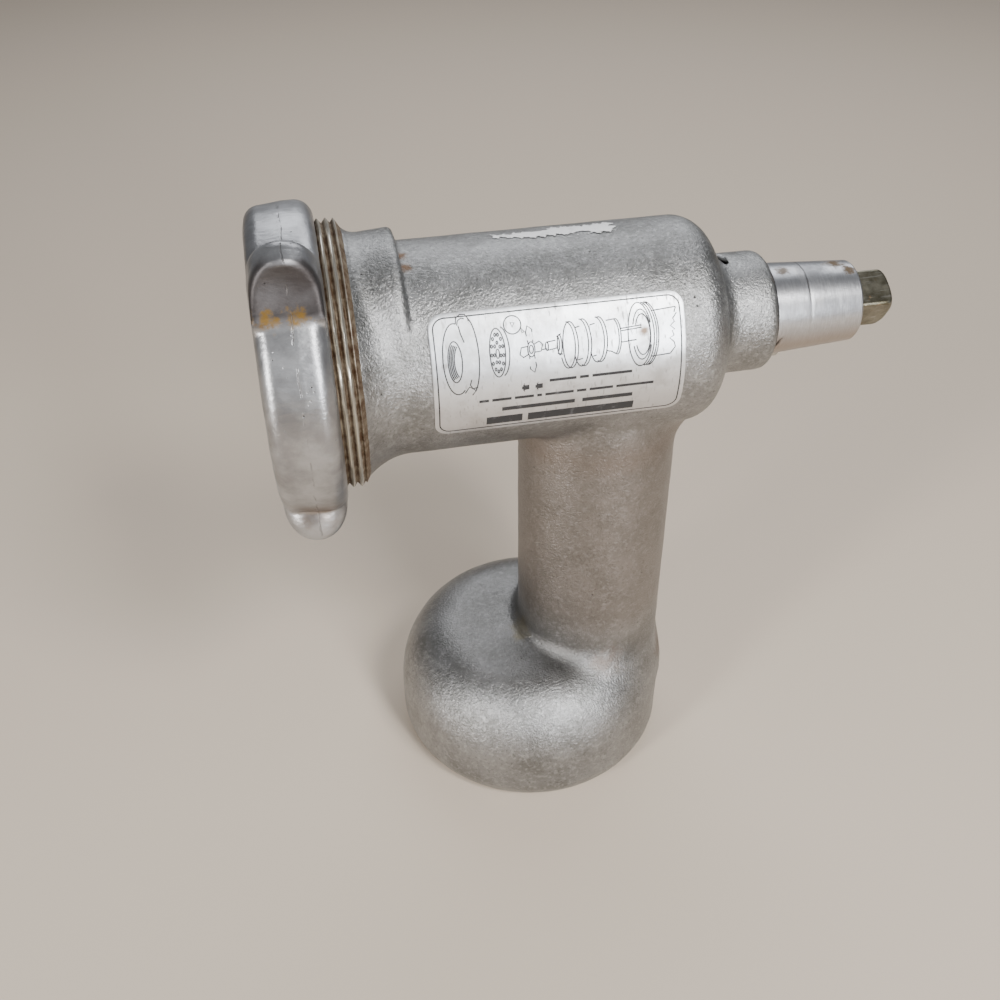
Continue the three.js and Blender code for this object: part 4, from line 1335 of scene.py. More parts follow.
@dataclass(frozen=True)
class Thread:
    """The screw thread between the mouth and the ring."""

    pitch: float = 2.54
    root: float = 40.0
    crest: float = 41.6
    rear_x: float = -81.5
    play: float = 0.5

    def radius(self, x: np.ndarray, turn: np.ndarray) -> np.ndarray:
        """Radius of the thread.

        Args:
            x: Places along the axis.
            turn: Angles from +Y towards +Z.

        Returns:
            Radii between the root and the crest.
        """
        phase = (x - self.rear_x) / self.pitch - turn / TAU
        wave = 1.0 - 2.0 * np.abs(phase - np.round(phase))
        return self.root + (self.crest - self.root) * np.clip(wave * 1.12 - 0.05, 0.0, 0.97)

    def stations(self, start: float, end: float) -> np.ndarray:
        """Places along the thread, twelve to a pitch."""
        return np.arange(start, end, self.pitch / 12.0)


@dataclass(frozen=True)
class Mouth:
    """The threaded mouth at the barrel's front, with the plate's seat and the knife's chamber."""

    bench: Bench
    thread: Thread = Thread()
    front_x: float = -101.2
    rear_x: float = -79.3
    chamfer: float = 0.9
    plate_hole: float = 35.2
    plate_seat_x: float = -98.1
    chamber: float = 31.0
    chamber_rear_x: float = -88.0
    bore: float = 28.6
    sides: int = 180

    def build(self) -> None:
        """Makes the threaded mouth."""
        turn = all_round(self.sides)
        x = self.thread.stations(self.front_x, self.rear_x)[:, None] * np.ones((1, self.sides))
        radius = self.thread.radius(x, turn)
        radius = np.minimum(radius, self.thread.root - self.chamfer + (x - self.front_x) * 1.05)
        radius = np.minimum(radius, self.thread.crest - (x - self.thread.rear_x - 0.2) * 1.75)
        inner = [
            (self.rear_x, self.bore),
            (self.chamber_rear_x + self.chamber - self.bore, self.bore),
            (self.chamber_rear_x, self.chamber),
            (self.plate_seat_x + 0.15, self.chamber),
            (self.plate_seat_x, self.chamber + 0.15),
            (self.plate_seat_x, self.plate_hole),
            (self.front_x + 0.4, self.plate_hole),
            (self.front_x, self.plate_hole + 0.4),
        ]
        shell = closed_off(x, radius, inner)
        self.bench.piece("mouth_thread", shell, ScrewThread(), Body.ROOT, Slot.CAST, sharp=35.0)


@dataclass(frozen=True)
class Spigot:
    """The turned spigot that fits the drive hub, with its pin."""

    bench: Bench
    front_x: float = 52.0
    end_x: float = 84.0
    root: float = 15.0
    root_x: float = 53.6
    tip: float = 13.15
    chamfer: float = 0.7
    bushing_hole: float = 11.45
    pin_x: float = 60.6
    pin_radius: float = 2.0
    sides: int = 144

    def build(self) -> None:
        """Makes the spigot and the hub pin."""
        turn = all_round(self.sides)
        x = np.append(np.arange(self.front_x, self.end_x - self.chamfer, 0.4), self.end_x - self.chamfer)
        taper = self.root + (self.tip - self.root) * (x - self.root_x) / (self.end_x - self.root_x)
        grid = x[:, None] * np.ones((1, self.sides))
        radius = taper[:, None] * np.ones((1, self.sides))
        # A worn band, and the nick beside the collar below the viewer's side.
        radius -= 0.04 * np.exp(-(((grid - 65.6) / 0.5) ** 2))
        above = np.degrees(math.pi - turn)
        nick = (grid - self.root_x - (above + 40.0) * 0.10) / 0.8
        radius -= 0.7 * np.exp(-(nick**2)) * ramp(above, -44.0, -36.0) * ramp(above, -8.0, -16.0)
        ends = [
            (self.end_x - 0.2, self.tip - self.chamfer * 0.45),
            (self.end_x, self.tip - self.chamfer),
            (self.end_x, self.bushing_hole + 0.3),
            (self.end_x - 0.3, self.bushing_hole),
            (self.front_x, self.bushing_hole),
        ]
        shell = closed_off(grid, radius, ends)
        self.bench.piece("drive_spigot", shell, TurnedAluminium(), Body.ROOT, Slot.CAST, sharp=35.0)
        self._pin()

    def _pin(self) -> None:
        """Makes the locating pin under the spigot."""
        low = AXIS_Z - self.root - 2.6
        outline = [
            (0.0, low),
            (self.pin_radius - 0.6, low),
            (self.pin_radius - 0.18, low + 0.2),
            (self.pin_radius, low + 0.6),
            (self.pin_radius, low + 4.2),
            (0.0, low + 4.2),
        ]
        sides = 32
        points = []
        for radius, height in outline:
            for turn in np.linspace(0.0, TAU, sides, endpoint=False):
                points.append((self.pin_x + radius * math.cos(turn), radius * math.sin(turn), height))
        shell = Shell(np.array(points), lofted(len(outline) - 1, sides))
        self.bench.piece("locating_pin", shell, WornSteel("pin_steel"), Body.ROOT, Slot.SHAFT, ["hub_pin"])


# ------------------------------------------------------------------ the ring
@dataclass(frozen=True)
class Ring:
    """The ring nut with three lugs that clamps the plate to the mouth."""

    bench: Bench
    thread: Thread = Thread()
    radius: float = 47.6
    front_x: float = -107.6
    rear_x: float = -87.0
    crown_x: float = -96.0
    front_radius: float = 46.9
    front_round: float = 5.0
    rear_round: float = 5.4
    aperture: float = 31.4
    lip_x: float = -104.2
    relief: float = 42.5
    lug_x: float = -97.4
    lug_reach: float = 56.8
    lug_half_width: float = 9.9
    lug_half_thickness: float = 5.9
    lug_scoop_side: float = 16.5
    lug_angles: tuple[float, ...] = (117.5, 237.5, 357.5)
    step: float = 0.8

    def _outline(self) -> Outline:
        """Outline of the ring without its lugs.

        Returns:
            The closed outline.
        """
        rear, front = self.rear_round, self.front_round
        return [
            (self.front_x + 1.2, self.aperture),
            (self.lip_x, self.aperture),
            (self.lip_x, self.relief),
            (self.rear_x, self.relief),
            *arc(self.rear_x - rear, self.radius - rear, rear, 0.0, math.pi / 2, 16),
            (self.crown_x, self.radius),
            *arc(self.front_x + front, self.front_radius - front, front, math.pi / 2, math.pi, 18),
            (self.front_x, self.aperture + 1.2),
        ]

    def shape(self) -> Field:
        """The ring as one distance field.

        Returns:
            The field.
        """
        hoop = OutlineField(self._outline())
        lug_centre = self.radius - 2.4
        rise = self.lug_reach - lug_centre

        def distance(x: np.ndarray, y: np.ndarray, z: np.ndarray) -> np.ndarray:
            """Signed distance to the ring."""
            up = z - AXIS_Z
            ring = np.hypot(y, up)
            solid = hoop(x, ring)
            for angle in self.lug_angles:
                turn = math.radians(angle)
                out = y * math.cos(turn) + up * math.sin(turn) - lug_centre
                side = -y * math.sin(turn) + up * math.cos(turn)
                # Behind its tip the lug runs on as a low prism, which the finger hollow cuts away.
                thick = np.where(side > 0.0, 1e3, self.lug_half_thickness)
                scaled = np.sqrt(
                    ((x - self.lug_x) / self.lug_half_width) ** 2 + (out / rise) ** 2 + (side / thick) ** 2
                )
                slope = np.sqrt(
                    ((x - self.lug_x) / self.lug_half_width**2) ** 2
                    + (out / rise**2) ** 2
                    + (side / thick**2) ** 2
                )
                lug = scaled * (scaled - 1.0) / np.maximum(slope, 1e-6)
                lug = np.maximum(lug, side - self.lug_scoop_side)
                fillet = 0.6 + 0.9 * ramp(side, -3.0, 3.0)
                solid = joined(solid, np.maximum(lug, self.relief + 1.0 - ring), fillet)
                # The finger hollow on the side of the lug that is pushed.
                hollow = np.sqrt(
                    ((x - self.lug_x) / 2.5) ** 2 + (out - 13.4) ** 2 + (side - 18.5) ** 2
                ) - 13.0
                solid = cut(solid, hollow, 1.4)
            return solid - 0.07 * unevenness(x * 1.3, y * 1.3, z * 1.3)

        return distance

    def build(self) -> None:
        """Makes the ring and its inner thread."""
        reach = self.lug_reach + 2.0
        low = (self.front_x - 1.6, -reach, AXIS_Z - reach)
        high = (self.rear_x + 1.6, reach, AXIS_Z + reach)
        shell = Mesher(low, high, self.step).mesh(self.shape())
        self.bench.piece(
            "ring_shell", shell, RubbedAluminium(), Body.RING, Slot.RING, ["ring_nut"], sharp=60.0
        )
        sides = 180
        turn = all_round(sides)
        x = self.thread.stations(self.lip_x + 3.0, self.rear_x - 0.9)[:, None] * np.ones((1, sides))
        radius = self.thread.radius(x, turn) + self.thread.play
        radius = np.maximum(radius, self.thread.root + self.thread.play + (x - self.rear_x + 2.4) * 1.1)
        backing = self.relief + 0.4
        shell = closed_off(x, radius, [(float(x[-1, 0]), backing), (float(x[0, 0]), backing)])
        finish = ScrewThread("ring_screw_thread")
        self.bench.piece("ring_thread", shell, finish, Body.RING, Slot.RING, sharp=35.0)


# ------------------------------------------------------------------ the cutting end
class Tool(Board):
    """A Geometry Nodes tree that is built, run once on a blank and baked."""

    def __init__(self, name: str, sizes: dict[str, float | int]) -> None:
        """Starts the tree and its named inputs.

        Args:
            name: The tree's name.
            sizes: Input names and their values. Whole numbers become integer inputs.
        """
        super().__init__(bpy.data.node_groups.new(name, "GeometryNodeTree"))
        self.sizes = sizes
        interface = self.tree.interface
        interface.new_socket("Geometry", in_out="INPUT", socket_type="NodeSocketGeometry")
        interface.new_socket("Geometry", in_out="OUTPUT", socket_type="NodeSocketGeometry")
        for label, value in sizes.items():
            kind = "NodeSocketInt" if isinstance(value, int) else "NodeSocketFloat"
            interface.new_socket(label, in_out="INPUT", socket_type=kind)
        self.inputs = self.node("NodeGroupInput")

    def size(self, label: str) -> Wire:
        """A named input of the tree."""
        return self.out(self.inputs, label)

    def moved(self, shape: Wire, **changes: Any) -> Wire:
        """The geometry, moved, turned or scaled."""
        return self.out(self.node("GeometryNodeTransform", {}, {0: shape, **changes}))

    def boolean(self, operation: str, solver: str, base: Wire | None, *others: Wire) -> Wire:
        """Joins solids, or takes the others away from the base.

        Args:
            operation: UNION or DIFFERENCE.
            solver: The solver's name.
            base: What is cut, or None for a union.
            others: The other solids.

        Returns:
            The result.
        """
        made = self.node("GeometryNodeMeshBoolean", {"operation": operation, "solver": solver})
        if base is not None:
            self.feed(made.inputs["Mesh 1"], base)
        for other in others:
            self.tree.links.new(other.socket, made.inputs["Mesh 2"])
        return self.out(made)

    def run(self, source: bpy.types.Object, result: Wire, material: bpy.types.Material) -> None:
        """Closes the tree and puts it on the blank.

        Args:
            source: The blank.
            result: The geometry that it becomes.
            material: Its material.
        """
        real = self.node("GeometryNodeRealizeInstances", {}, {0: result})
        dressed = self.node("GeometryNodeSetMaterial", {}, {0: self.out(real), "Material": material})
        self.node("NodeGroupOutput", {}, {0: self.out(dressed)})
        modifier = source.modifiers.new(self.tree.name, "NODES")
        modifier.node_group = self.tree
        for item in self.tree.interface.items_tree:
            if item.in_out == "INPUT" and item.name in self.sizes:
                modifier[item.identifier] = self.sizes[item.name]


@dataclass(frozen=True)
class CuttingEnd:
    """The perforated plate with its key, the four-armed knife and the stud that carries them."""

    bench: Bench
    plate_radius: float = 34.9
    plate_front_x: float = -103.9
    plate_rear_x: float = -98.4
    hole_radius: float = 2.4
    hole_rings: tuple[tuple[float, int], ...] = ((11.6, 8), (18.9, 14), (26.3, 20))
    stud_hole: float = 5.1
    key_radius: float = 1.3
    key_circle: float = 33.1
    knife_front_x: float = -98.1
    knife_rear_x: float = -91.1
    knife_radius: float = 29.6
    arm_width: float = 8.6
    hub_radius: float = 9.6
    arms: int = 4
    stud_square: float = 9.2
    stud_radius: float = 4.5
    stud_front_x: float = -105.2
    shank_end_x: float = -70.8

    def _plate_blank(self) -> Shell:
        """The plate before it is drilled, with its key notch.

        Returns:
            The closed shell.
        """
        half = self.key_radius + 0.45
        notch = math.asin(half / self.plate_radius)
        floor = self.key_circle - half
        edge = 0.5
        turns = np.linspace(math.pi / 2 + notch, math.pi / 2 - notch + TAU, 160)

        def loop(inset: float, x: float) -> np.ndarray:
            """One outline of the plate."""
            radius = self.plate_radius - inset
            rim = [(radius * math.cos(t), radius * math.sin(t)) for t in turns]
            rim += [(half, floor - inset * 0.2), (-half, floor - inset * 0.2)]
            return np.array([(x, y, AXIS_Z + z) for y, z in rim])

        loops = [
            loop(edge, self.plate_front_x),
            loop(0.0, self.plate_front_x + edge),
            loop(0.0, self.plate_rear_x - edge),
            loop(edge, self.plate_rear_x),
        ]
        count = len(loops[0])
        centres = np.array([(self.plate_front_x, 0.0, AXIS_Z), (self.plate_rear_x, 0.0, AXIS_Z)])
        faces: list[Sequence[int]] = []
        for j in range(count):
            k = (j + 1) % count
            faces += [(4 * count, j, k), (4 * count + 1, 3 * count + k, 3 * count + j)]
            for i in range(3):
                faces.append((i * count + j, i * count + k, (i + 1) * count + k, (i + 1) * count + j))
        return Shell(np.vstack([*loops, centres]), faces)

    def _plate(self) -> None:
        """Drills the plate with Geometry Nodes."""
        finish = WornSteel("plate_steel", light=(0.50, 0.485, 0.45), freckles=0.55, gloss=0.26)
        thickness = self.plate_rear_x - self.plate_front_x
        middle = AXES.to_row(np.array([(self.plate_front_x + self.plate_rear_x) / 2.0, 0.0, AXIS_Z]))
        sizes: dict[str, float | int] = {
            "Hole Radius": self.hole_radius * MM,
            "Stud Hole Radius": self.stud_hole * MM,
            "Thickness": thickness * MM,
        }
        for number, (radius, count) in enumerate(self.hole_rings):
            sizes[f"Ring {number} Radius"] = radius * MM
            sizes[f"Ring {number} Holes"] = count
        tool = Tool("plate_holes", sizes)
        upright = (0.0, math.pi / 2, 0.0)

        def drill(sides: int, radius: Wire) -> Wire:
            """A cutter along X with a small countersink at both faces.

            Args:
                sides: Its number of sides.
                radius: Its radius.

            Returns:
                Its geometry.
            """
            shaft = tool.node(
                "GeometryNodeMeshCylinder",
                {},
                {"Vertices": sides, "Radius": radius, "Depth": tool.size("Thickness") * 1.5},
            )
            sink = tool.node(
                "GeometryNodeMeshCone",
                {},
                {
                    "Vertices": sides,
                    "Radius Top": radius * 1.22,
                    "Radius Bottom": radius * 0.9,
                    "Depth": radius * 0.32,
                },
            )
            depth = tool.size("Thickness") * -0.5 - radius * 0.14
            lift = tool.out(tool.node("ShaderNodeCombineXYZ", {}, {"Z": depth}))
            moved = tool.moved(tool.out(sink), Translation=lift, Scale=(1.0, 1.0, -1.0))
            flipped = tool.out(tool.node("GeometryNodeFlipFaces", {}, {0: moved}))
            both = tool.boolean("UNION", "MANIFOLD", None, tool.out(shaft), flipped)
            return tool.moved(both, Rotation=upright)

        cutters = [drill(40, tool.size("Stud Hole Radius"))]
        cutter = drill(24, tool.size("Hole Radius"))
        for number, (_, count) in enumerate(self.hole_rings):
            circle = tool.node(
                "GeometryNodeMeshCircle",
                {},
                {
                    "Vertices": tool.size(f"Ring {number} Holes"),
                    "Radius": tool.size(f"Ring {number} Radius"),
                },
            )
            # Two turns, because one with both angles would tilt the circle.
            faced = tool.moved(tool.out(circle), Rotation=upright)
            faced = tool.moved(faced, Rotation=(math.pi / count, 0.0, 0.0))
            drills = {"Points": faced, "Instance": cutter}
            cutters.append(tool.out(tool.node("GeometryNodeInstanceOnPoints", {}, drills)))
        together = tool.node("GeometryNodeJoinGeometry")
        for each in reversed(cutters):
            tool.tree.links.new(each.socket, together.inputs[0])
        solid = tool.node("GeometryNodeRealizeInstances", {}, {0: tool.out(together)})
        placed = tool.moved(tool.out(solid), Translation=tuple(middle))
        source = tool.out(tool.inputs, "Geometry")
        drilled = tool.boolean("DIFFERENCE", "MANIFOLD", source, placed)
        blank = self.bench.blank("plate_blank", self._plate_blank())
        tool.run(blank, drilled, self.bench.dressing(finish))
        made = self.bench.baked("perforated_plate", blank, 30.0)
        self.bench.finish(made, finish, Body.PLATE, Slot.BLADE, ["grinding_plate"])

    def _arm(self) -> Shell:
        """One knife arm along +Z from the axis, hollow-ground behind its edge.

        Returns:
            The closed shell.
        """
        sections = 14
        profile = [(-0.5, 0.0), (-0.3, 0.35), (0.5, 0.62), (0.5, 0.0)]
        points = []
        front = self.knife_front_x
        for i in range(sections + 1):
            share = i / sections
            out = self.hub_radius * 0.55 + (self.knife_radius - self.hub_radius * 0.55) * share
            width = self.arm_width * (1.0 - 0.18 * share)
            thick = 7.0 - 3.6 * ramp(share, 0.1, 0.45) - 0.6 * share
            lean = 0.9 * math.sin(share * math.pi) - 1.1 * share
            for across, back in profile:
                points.append((front + thick * back / 0.62, across * width + lean, AXIS_Z + out))
        return Shell(np.array(points), capped(sections, len(profile)))

    def _knife(self) -> None:
        """Repeats the arm round the hub with Geometry Nodes."""
        finish = WornSteel("knife_steel", light=(0.56, 0.55, 0.53), freckles=0.4, gloss=0.24)
        tool = Tool("knife_arms", {"Arms": self.arms, "Square": (self.stud_square + 0.6) * MM})
        middle = AXES.to_row(np.array([0.0, 0.0, AXIS_Z]))
        hub_middle = AXES.to_row(np.array([(self.knife_front_x + self.knife_rear_x) / 2.0, 0.0, AXIS_Z]))
        points = tool.node("GeometryNodePoints", {}, {"Count": tool.size("Arms")})
        number = tool.out(tool.node("GeometryNodeInputIndex"))
        angle = number * TAU / tool.size("Arms")
        turn = tool.out(tool.node("ShaderNodeCombineXYZ", {}, {"X": angle}))
        centred = tool.moved(tool.out(tool.inputs, "Geometry"), Translation=tuple(-middle))
        arms = tool.node(
            "GeometryNodeInstanceOnPoints",
            {},
            {"Points": tool.out(points), "Instance": centred, "Rotation": turn},
        )
        real = tool.node("GeometryNodeRealizeInstances", {}, {0: tool.out(arms)})
        back = tool.moved(tool.out(real), Translation=tuple(middle))
        hub = tool.node(
            "GeometryNodeMeshCylinder",
            {},
            {
                "Vertices": 48,
                "Radius": self.hub_radius * MM,
                "Depth": (self.knife_rear_x - self.knife_front_x - 0.04) * MM,
            },
        )
        hub_placed = tool.moved(
            tool.out(hub), Translation=tuple(hub_middle), Rotation=(0.0, math.pi / 2, 0.0)
        )
        union = tool.boolean("UNION", "EXACT", None, back, hub_placed)
        across = tool.size("Square")
        size = tool.node("ShaderNodeCombineXYZ", {}, {"X": 0.03, "Y": across, "Z": across})
        square = tool.node("GeometryNodeMeshCube", {}, {"Size": tool.out(size)})
        square_placed = tool.moved(
            tool.out(square), Translation=tuple(hub_middle), Rotation=(math.pi / 4, 0.0, 0.0)
        )
        pierced = tool.boolean("DIFFERENCE", "EXACT", union, square_placed)
        blank = self.bench.blank("knife_blank", self._arm())
        tool.run(blank, pierced, self.bench.dressing(finish))
        made = self.bench.baked("four_arm_knife", blank, 25.0)
        self.bench.finish(made, finish, Body.DRIVE, Slot.BLADE, ["cutter_knife"])

    def _stud(self) -> None:
        """Makes the stud: a journal through the plate, a square for the knife, and a shank."""
        half = self.stud_square / 2.0
        square_end = self.knife_rear_x + 0.15

        def distance(x: np.ndarray, y: np.ndarray, z: np.ndarray) -> np.ndarray:
            """Signed distance to the stud."""
            up = z - AXIS_Z
            ring = np.hypot(y, up)
            side = np.maximum(np.abs(y + up), np.abs(y - up)) / math.sqrt(2.0) - half
            square = np.maximum(side, np.maximum(self.knife_front_x - x, x - square_end))
            square = cut(square, half * 1.36 - ring, 0.5)
            journal = cut(ring - self.stud_radius, x - self.stud_front_x, 0.8)
            journal = np.maximum(journal, x - square_end)
            shank = np.maximum(ring - 5.6, np.maximum(square_end - x, x - self.shank_end_x))
            centre_mark = np.hypot(ring, x - self.stud_front_x + 0.3) - 1.1
            return cut(np.minimum(np.minimum(square, journal), shank), centre_mark, 0.2)

        reach = 7.5
        low = (self.stud_front_x - 1.0, -reach, AXIS_Z - reach)
        mesher = Mesher(low, (self.shank_end_x + 1.0, reach, AXIS_Z + reach), 0.5)
        self.bench.piece(
            "knife_post",
            mesher.mesh(distance),
            WornSteel("stud_steel", light=(0.56, 0.55, 0.52), freckles=0.35, gloss=0.24),
            Body.DRIVE,
            Slot.BLADE,
            ["knife_stud"],
            sharp=60.0,
        )

    def build(self) -> None:
        """Makes the cutting end."""
        self._plate()
        self._knife()
        self._stud()
        key = turned(
            [(-100.5, 0.0), (-100.5, 0.9), (-100.1, self.key_radius), (-93.1, self.key_radius), (-93.1, 0.0)], 28
        )
        key.points = key.points + (0.0, 0.0, self.key_circle)
        self.bench.piece("plate_stop_pin", key, WornSteel("key_steel"), Body.ROOT, Slot.BLADE, ["plate_key"])


# ------------------------------------------------------------------ the drive line
@dataclass(frozen=True)
class DriveLine:
    """The worm, its thrust washer, the shaft with its square end, and the bushing."""

    bench: Bench
    worm_front_x: float = -90.8
    worm_rear_x: float = 21.2
    core_front: float = 11.5
    core_rear: float = 14.0
    flight_radius: float = 27.6
    turns: float = 3.6
    pitch_front: float = 23.0
    pitch_rear: float = 36.0
    journal: float = 9.8
    square: float = 13.6
    square_end_x: float = 97.2
    square_turn: float = 74.7
    spigot_end_x: float = 84.0

    def _worm(self) -> None:
        """Makes the worm: a tapered core with a flight whose pitch opens towards the feed."""
        front = self.worm_front_x + 4.4
        rear = self.worm_rear_x - 4.4
        growth = (self.pitch_rear - self.pitch_front) / self.turns
        whole = self.pitch_front * self.turns + growth * self.turns**2 / 2.0
        steps = int(self.turns * 72)
        section = []
        for share in np.linspace(0.0, 1.0, 6):
            section.append((-4.0 + 2.1 * math.sin(share * math.pi / 2), share))
        section += [(-1.2, 1.015), (1.2, 1.015)]
        section += [(-along, share) for along, share in reversed(section[:6])]
        points = []
        for i in range(steps + 1):
            turn = self.turns * i / steps
            middle = front + (rear - front) * (self.pitch_front * turn + growth * turn**2 / 2.0) / whole
            base = self.core_front + (self.core_rear - self.core_front) * (middle - front) / (rear - front) - 1.2
            taper = float(ramp(turn, 0.0, 0.08) * ramp(turn, self.turns, self.turns - 0.12))
            for along, share in section:
                radius = base + (self.flight_radius - 0.4 - base) * share * (0.25 + 0.75 * taper)
                angle = -turn * TAU
                points.append((middle + along, radius * math.cos(angle), AXIS_Z + radius * math.sin(angle)))
        flight_shell = Shell(np.array(points), capped(steps, len(section)))
        core = turned(
            [
                (self.worm_front_x, 5.95),
                (self.worm_front_x, self.core_front - 0.8),
                (self.worm_front_x + 0.8, self.core_front),
                (self.worm_rear_x - 0.8, self.core_rear),
                (self.worm_rear_x, self.core_rear - 0.8),
                (self.worm_rear_x, 8.6),
                (self.worm_rear_x - 34.0, 8.6),
                (self.worm_front_x + 20.3, 5.95),
            ]
        )
        finish = WornSteel(
            "worm_metal", light=(0.58, 0.575, 0.56), dark=(0.37, 0.36, 0.34), freckles=0.25, gloss=0.34
        )
        self.bench.piece("worm_flight", flight_shell, finish, Body.DRIVE, Slot.WORM, sharp=35.0)
        self.bench.piece("worm_core", core, finish, Body.DRIVE, Slot.WORM, ["grind_worm"])

    def _shaft(self) -> None:
        """Makes the shaft: a round journal that ends in the driving square."""
        half = self.square / 2.0
        turn = math.radians(self.square_turn - 45.0)
        tip = self.square_end_x

        def distance(x: np.ndarray, y: np.ndarray, z: np.ndarray) -> np.ndarray:
            """Signed distance to the square end."""
            up = z - AXIS_Z
            a = y * math.cos(turn) + up * math.sin(turn)
            b = -y * math.sin(turn) + up * math.cos(turn)
            ring = np.hypot(y, up)
            flat_a = np.abs(a) - half
            flat_b = np.abs(b) - half
            bar = cut(flat_a, -flat_b, 0.9)
            dome = np.hypot(np.maximum(ring - 5.2, 0.0), np.maximum(x - (tip - 4.9), 0.0)) - 4.9
            bar = cut(bar, -dome, 0.7)
            bar = cut(bar, tip - x, 0.9)
            return np.maximum(bar, self.spigot_end_x - 1.6 - x) - 0.03 * unevenness(x * 3.0, y * 3.0, z * 3.0)

        reach = 11.0
        low = (self.spigot_end_x - 2.4, -reach, AXIS_Z - reach)
        mesher = Mesher(low, (tip + 0.8, reach, AXIS_Z + reach), 0.4)
        pewter = WornSteel(
            "pewter_steel",
            light=(0.25, 0.235, 0.185),
            dark=(0.12, 0.11, 0.075),
            freckles=0.45,
            gloss=0.24,
        )
        shell = mesher.mesh(distance)
        self.bench.piece("driving_square", shell, pewter, Body.DRIVE, Slot.SHAFT, sharp=60.0)
        journal = turned(
            [
                (21.6, 0.0),
                (21.6, self.journal - 0.5),
                (22.1, self.journal),
                (self.spigot_end_x - 0.9, self.journal),
                (self.spigot_end_x - 0.4, self.journal - 0.5),
                (self.spigot_end_x - 0.4, 0.0),
            ]
        )
        finish = WornSteel("journal_steel", gloss=0.2)
        self.bench.piece("shaft_journal", journal, finish, Body.DRIVE, Slot.SHAFT, ["drive_shaft"])

    def build(self) -> None:
        """Makes the drive line."""
        self._worm()
        self._shaft()
        bushing = turned([(46.4, 10.1), (46.4, 11.3), (83.0, 11.3), (83.4, 10.9), (83.4, 10.5), (83.1, 10.1)])
        self.bench.piece("bearing_bushing", bushing, Bronze(), Body.ROOT, Slot.BUSHING, ["shaft_bushing"])
        washer = turned(
            [(21.5, 10.1), (21.5, 15.2), (21.8, 15.5), (22.8, 15.5), (23.1, 15.2), (23.1, 10.1)]
        )
        self.bench.piece("thrust_ring", washer, Fibre(), Body.DRIVE, Slot.WASHER, ["thrust_washer"])


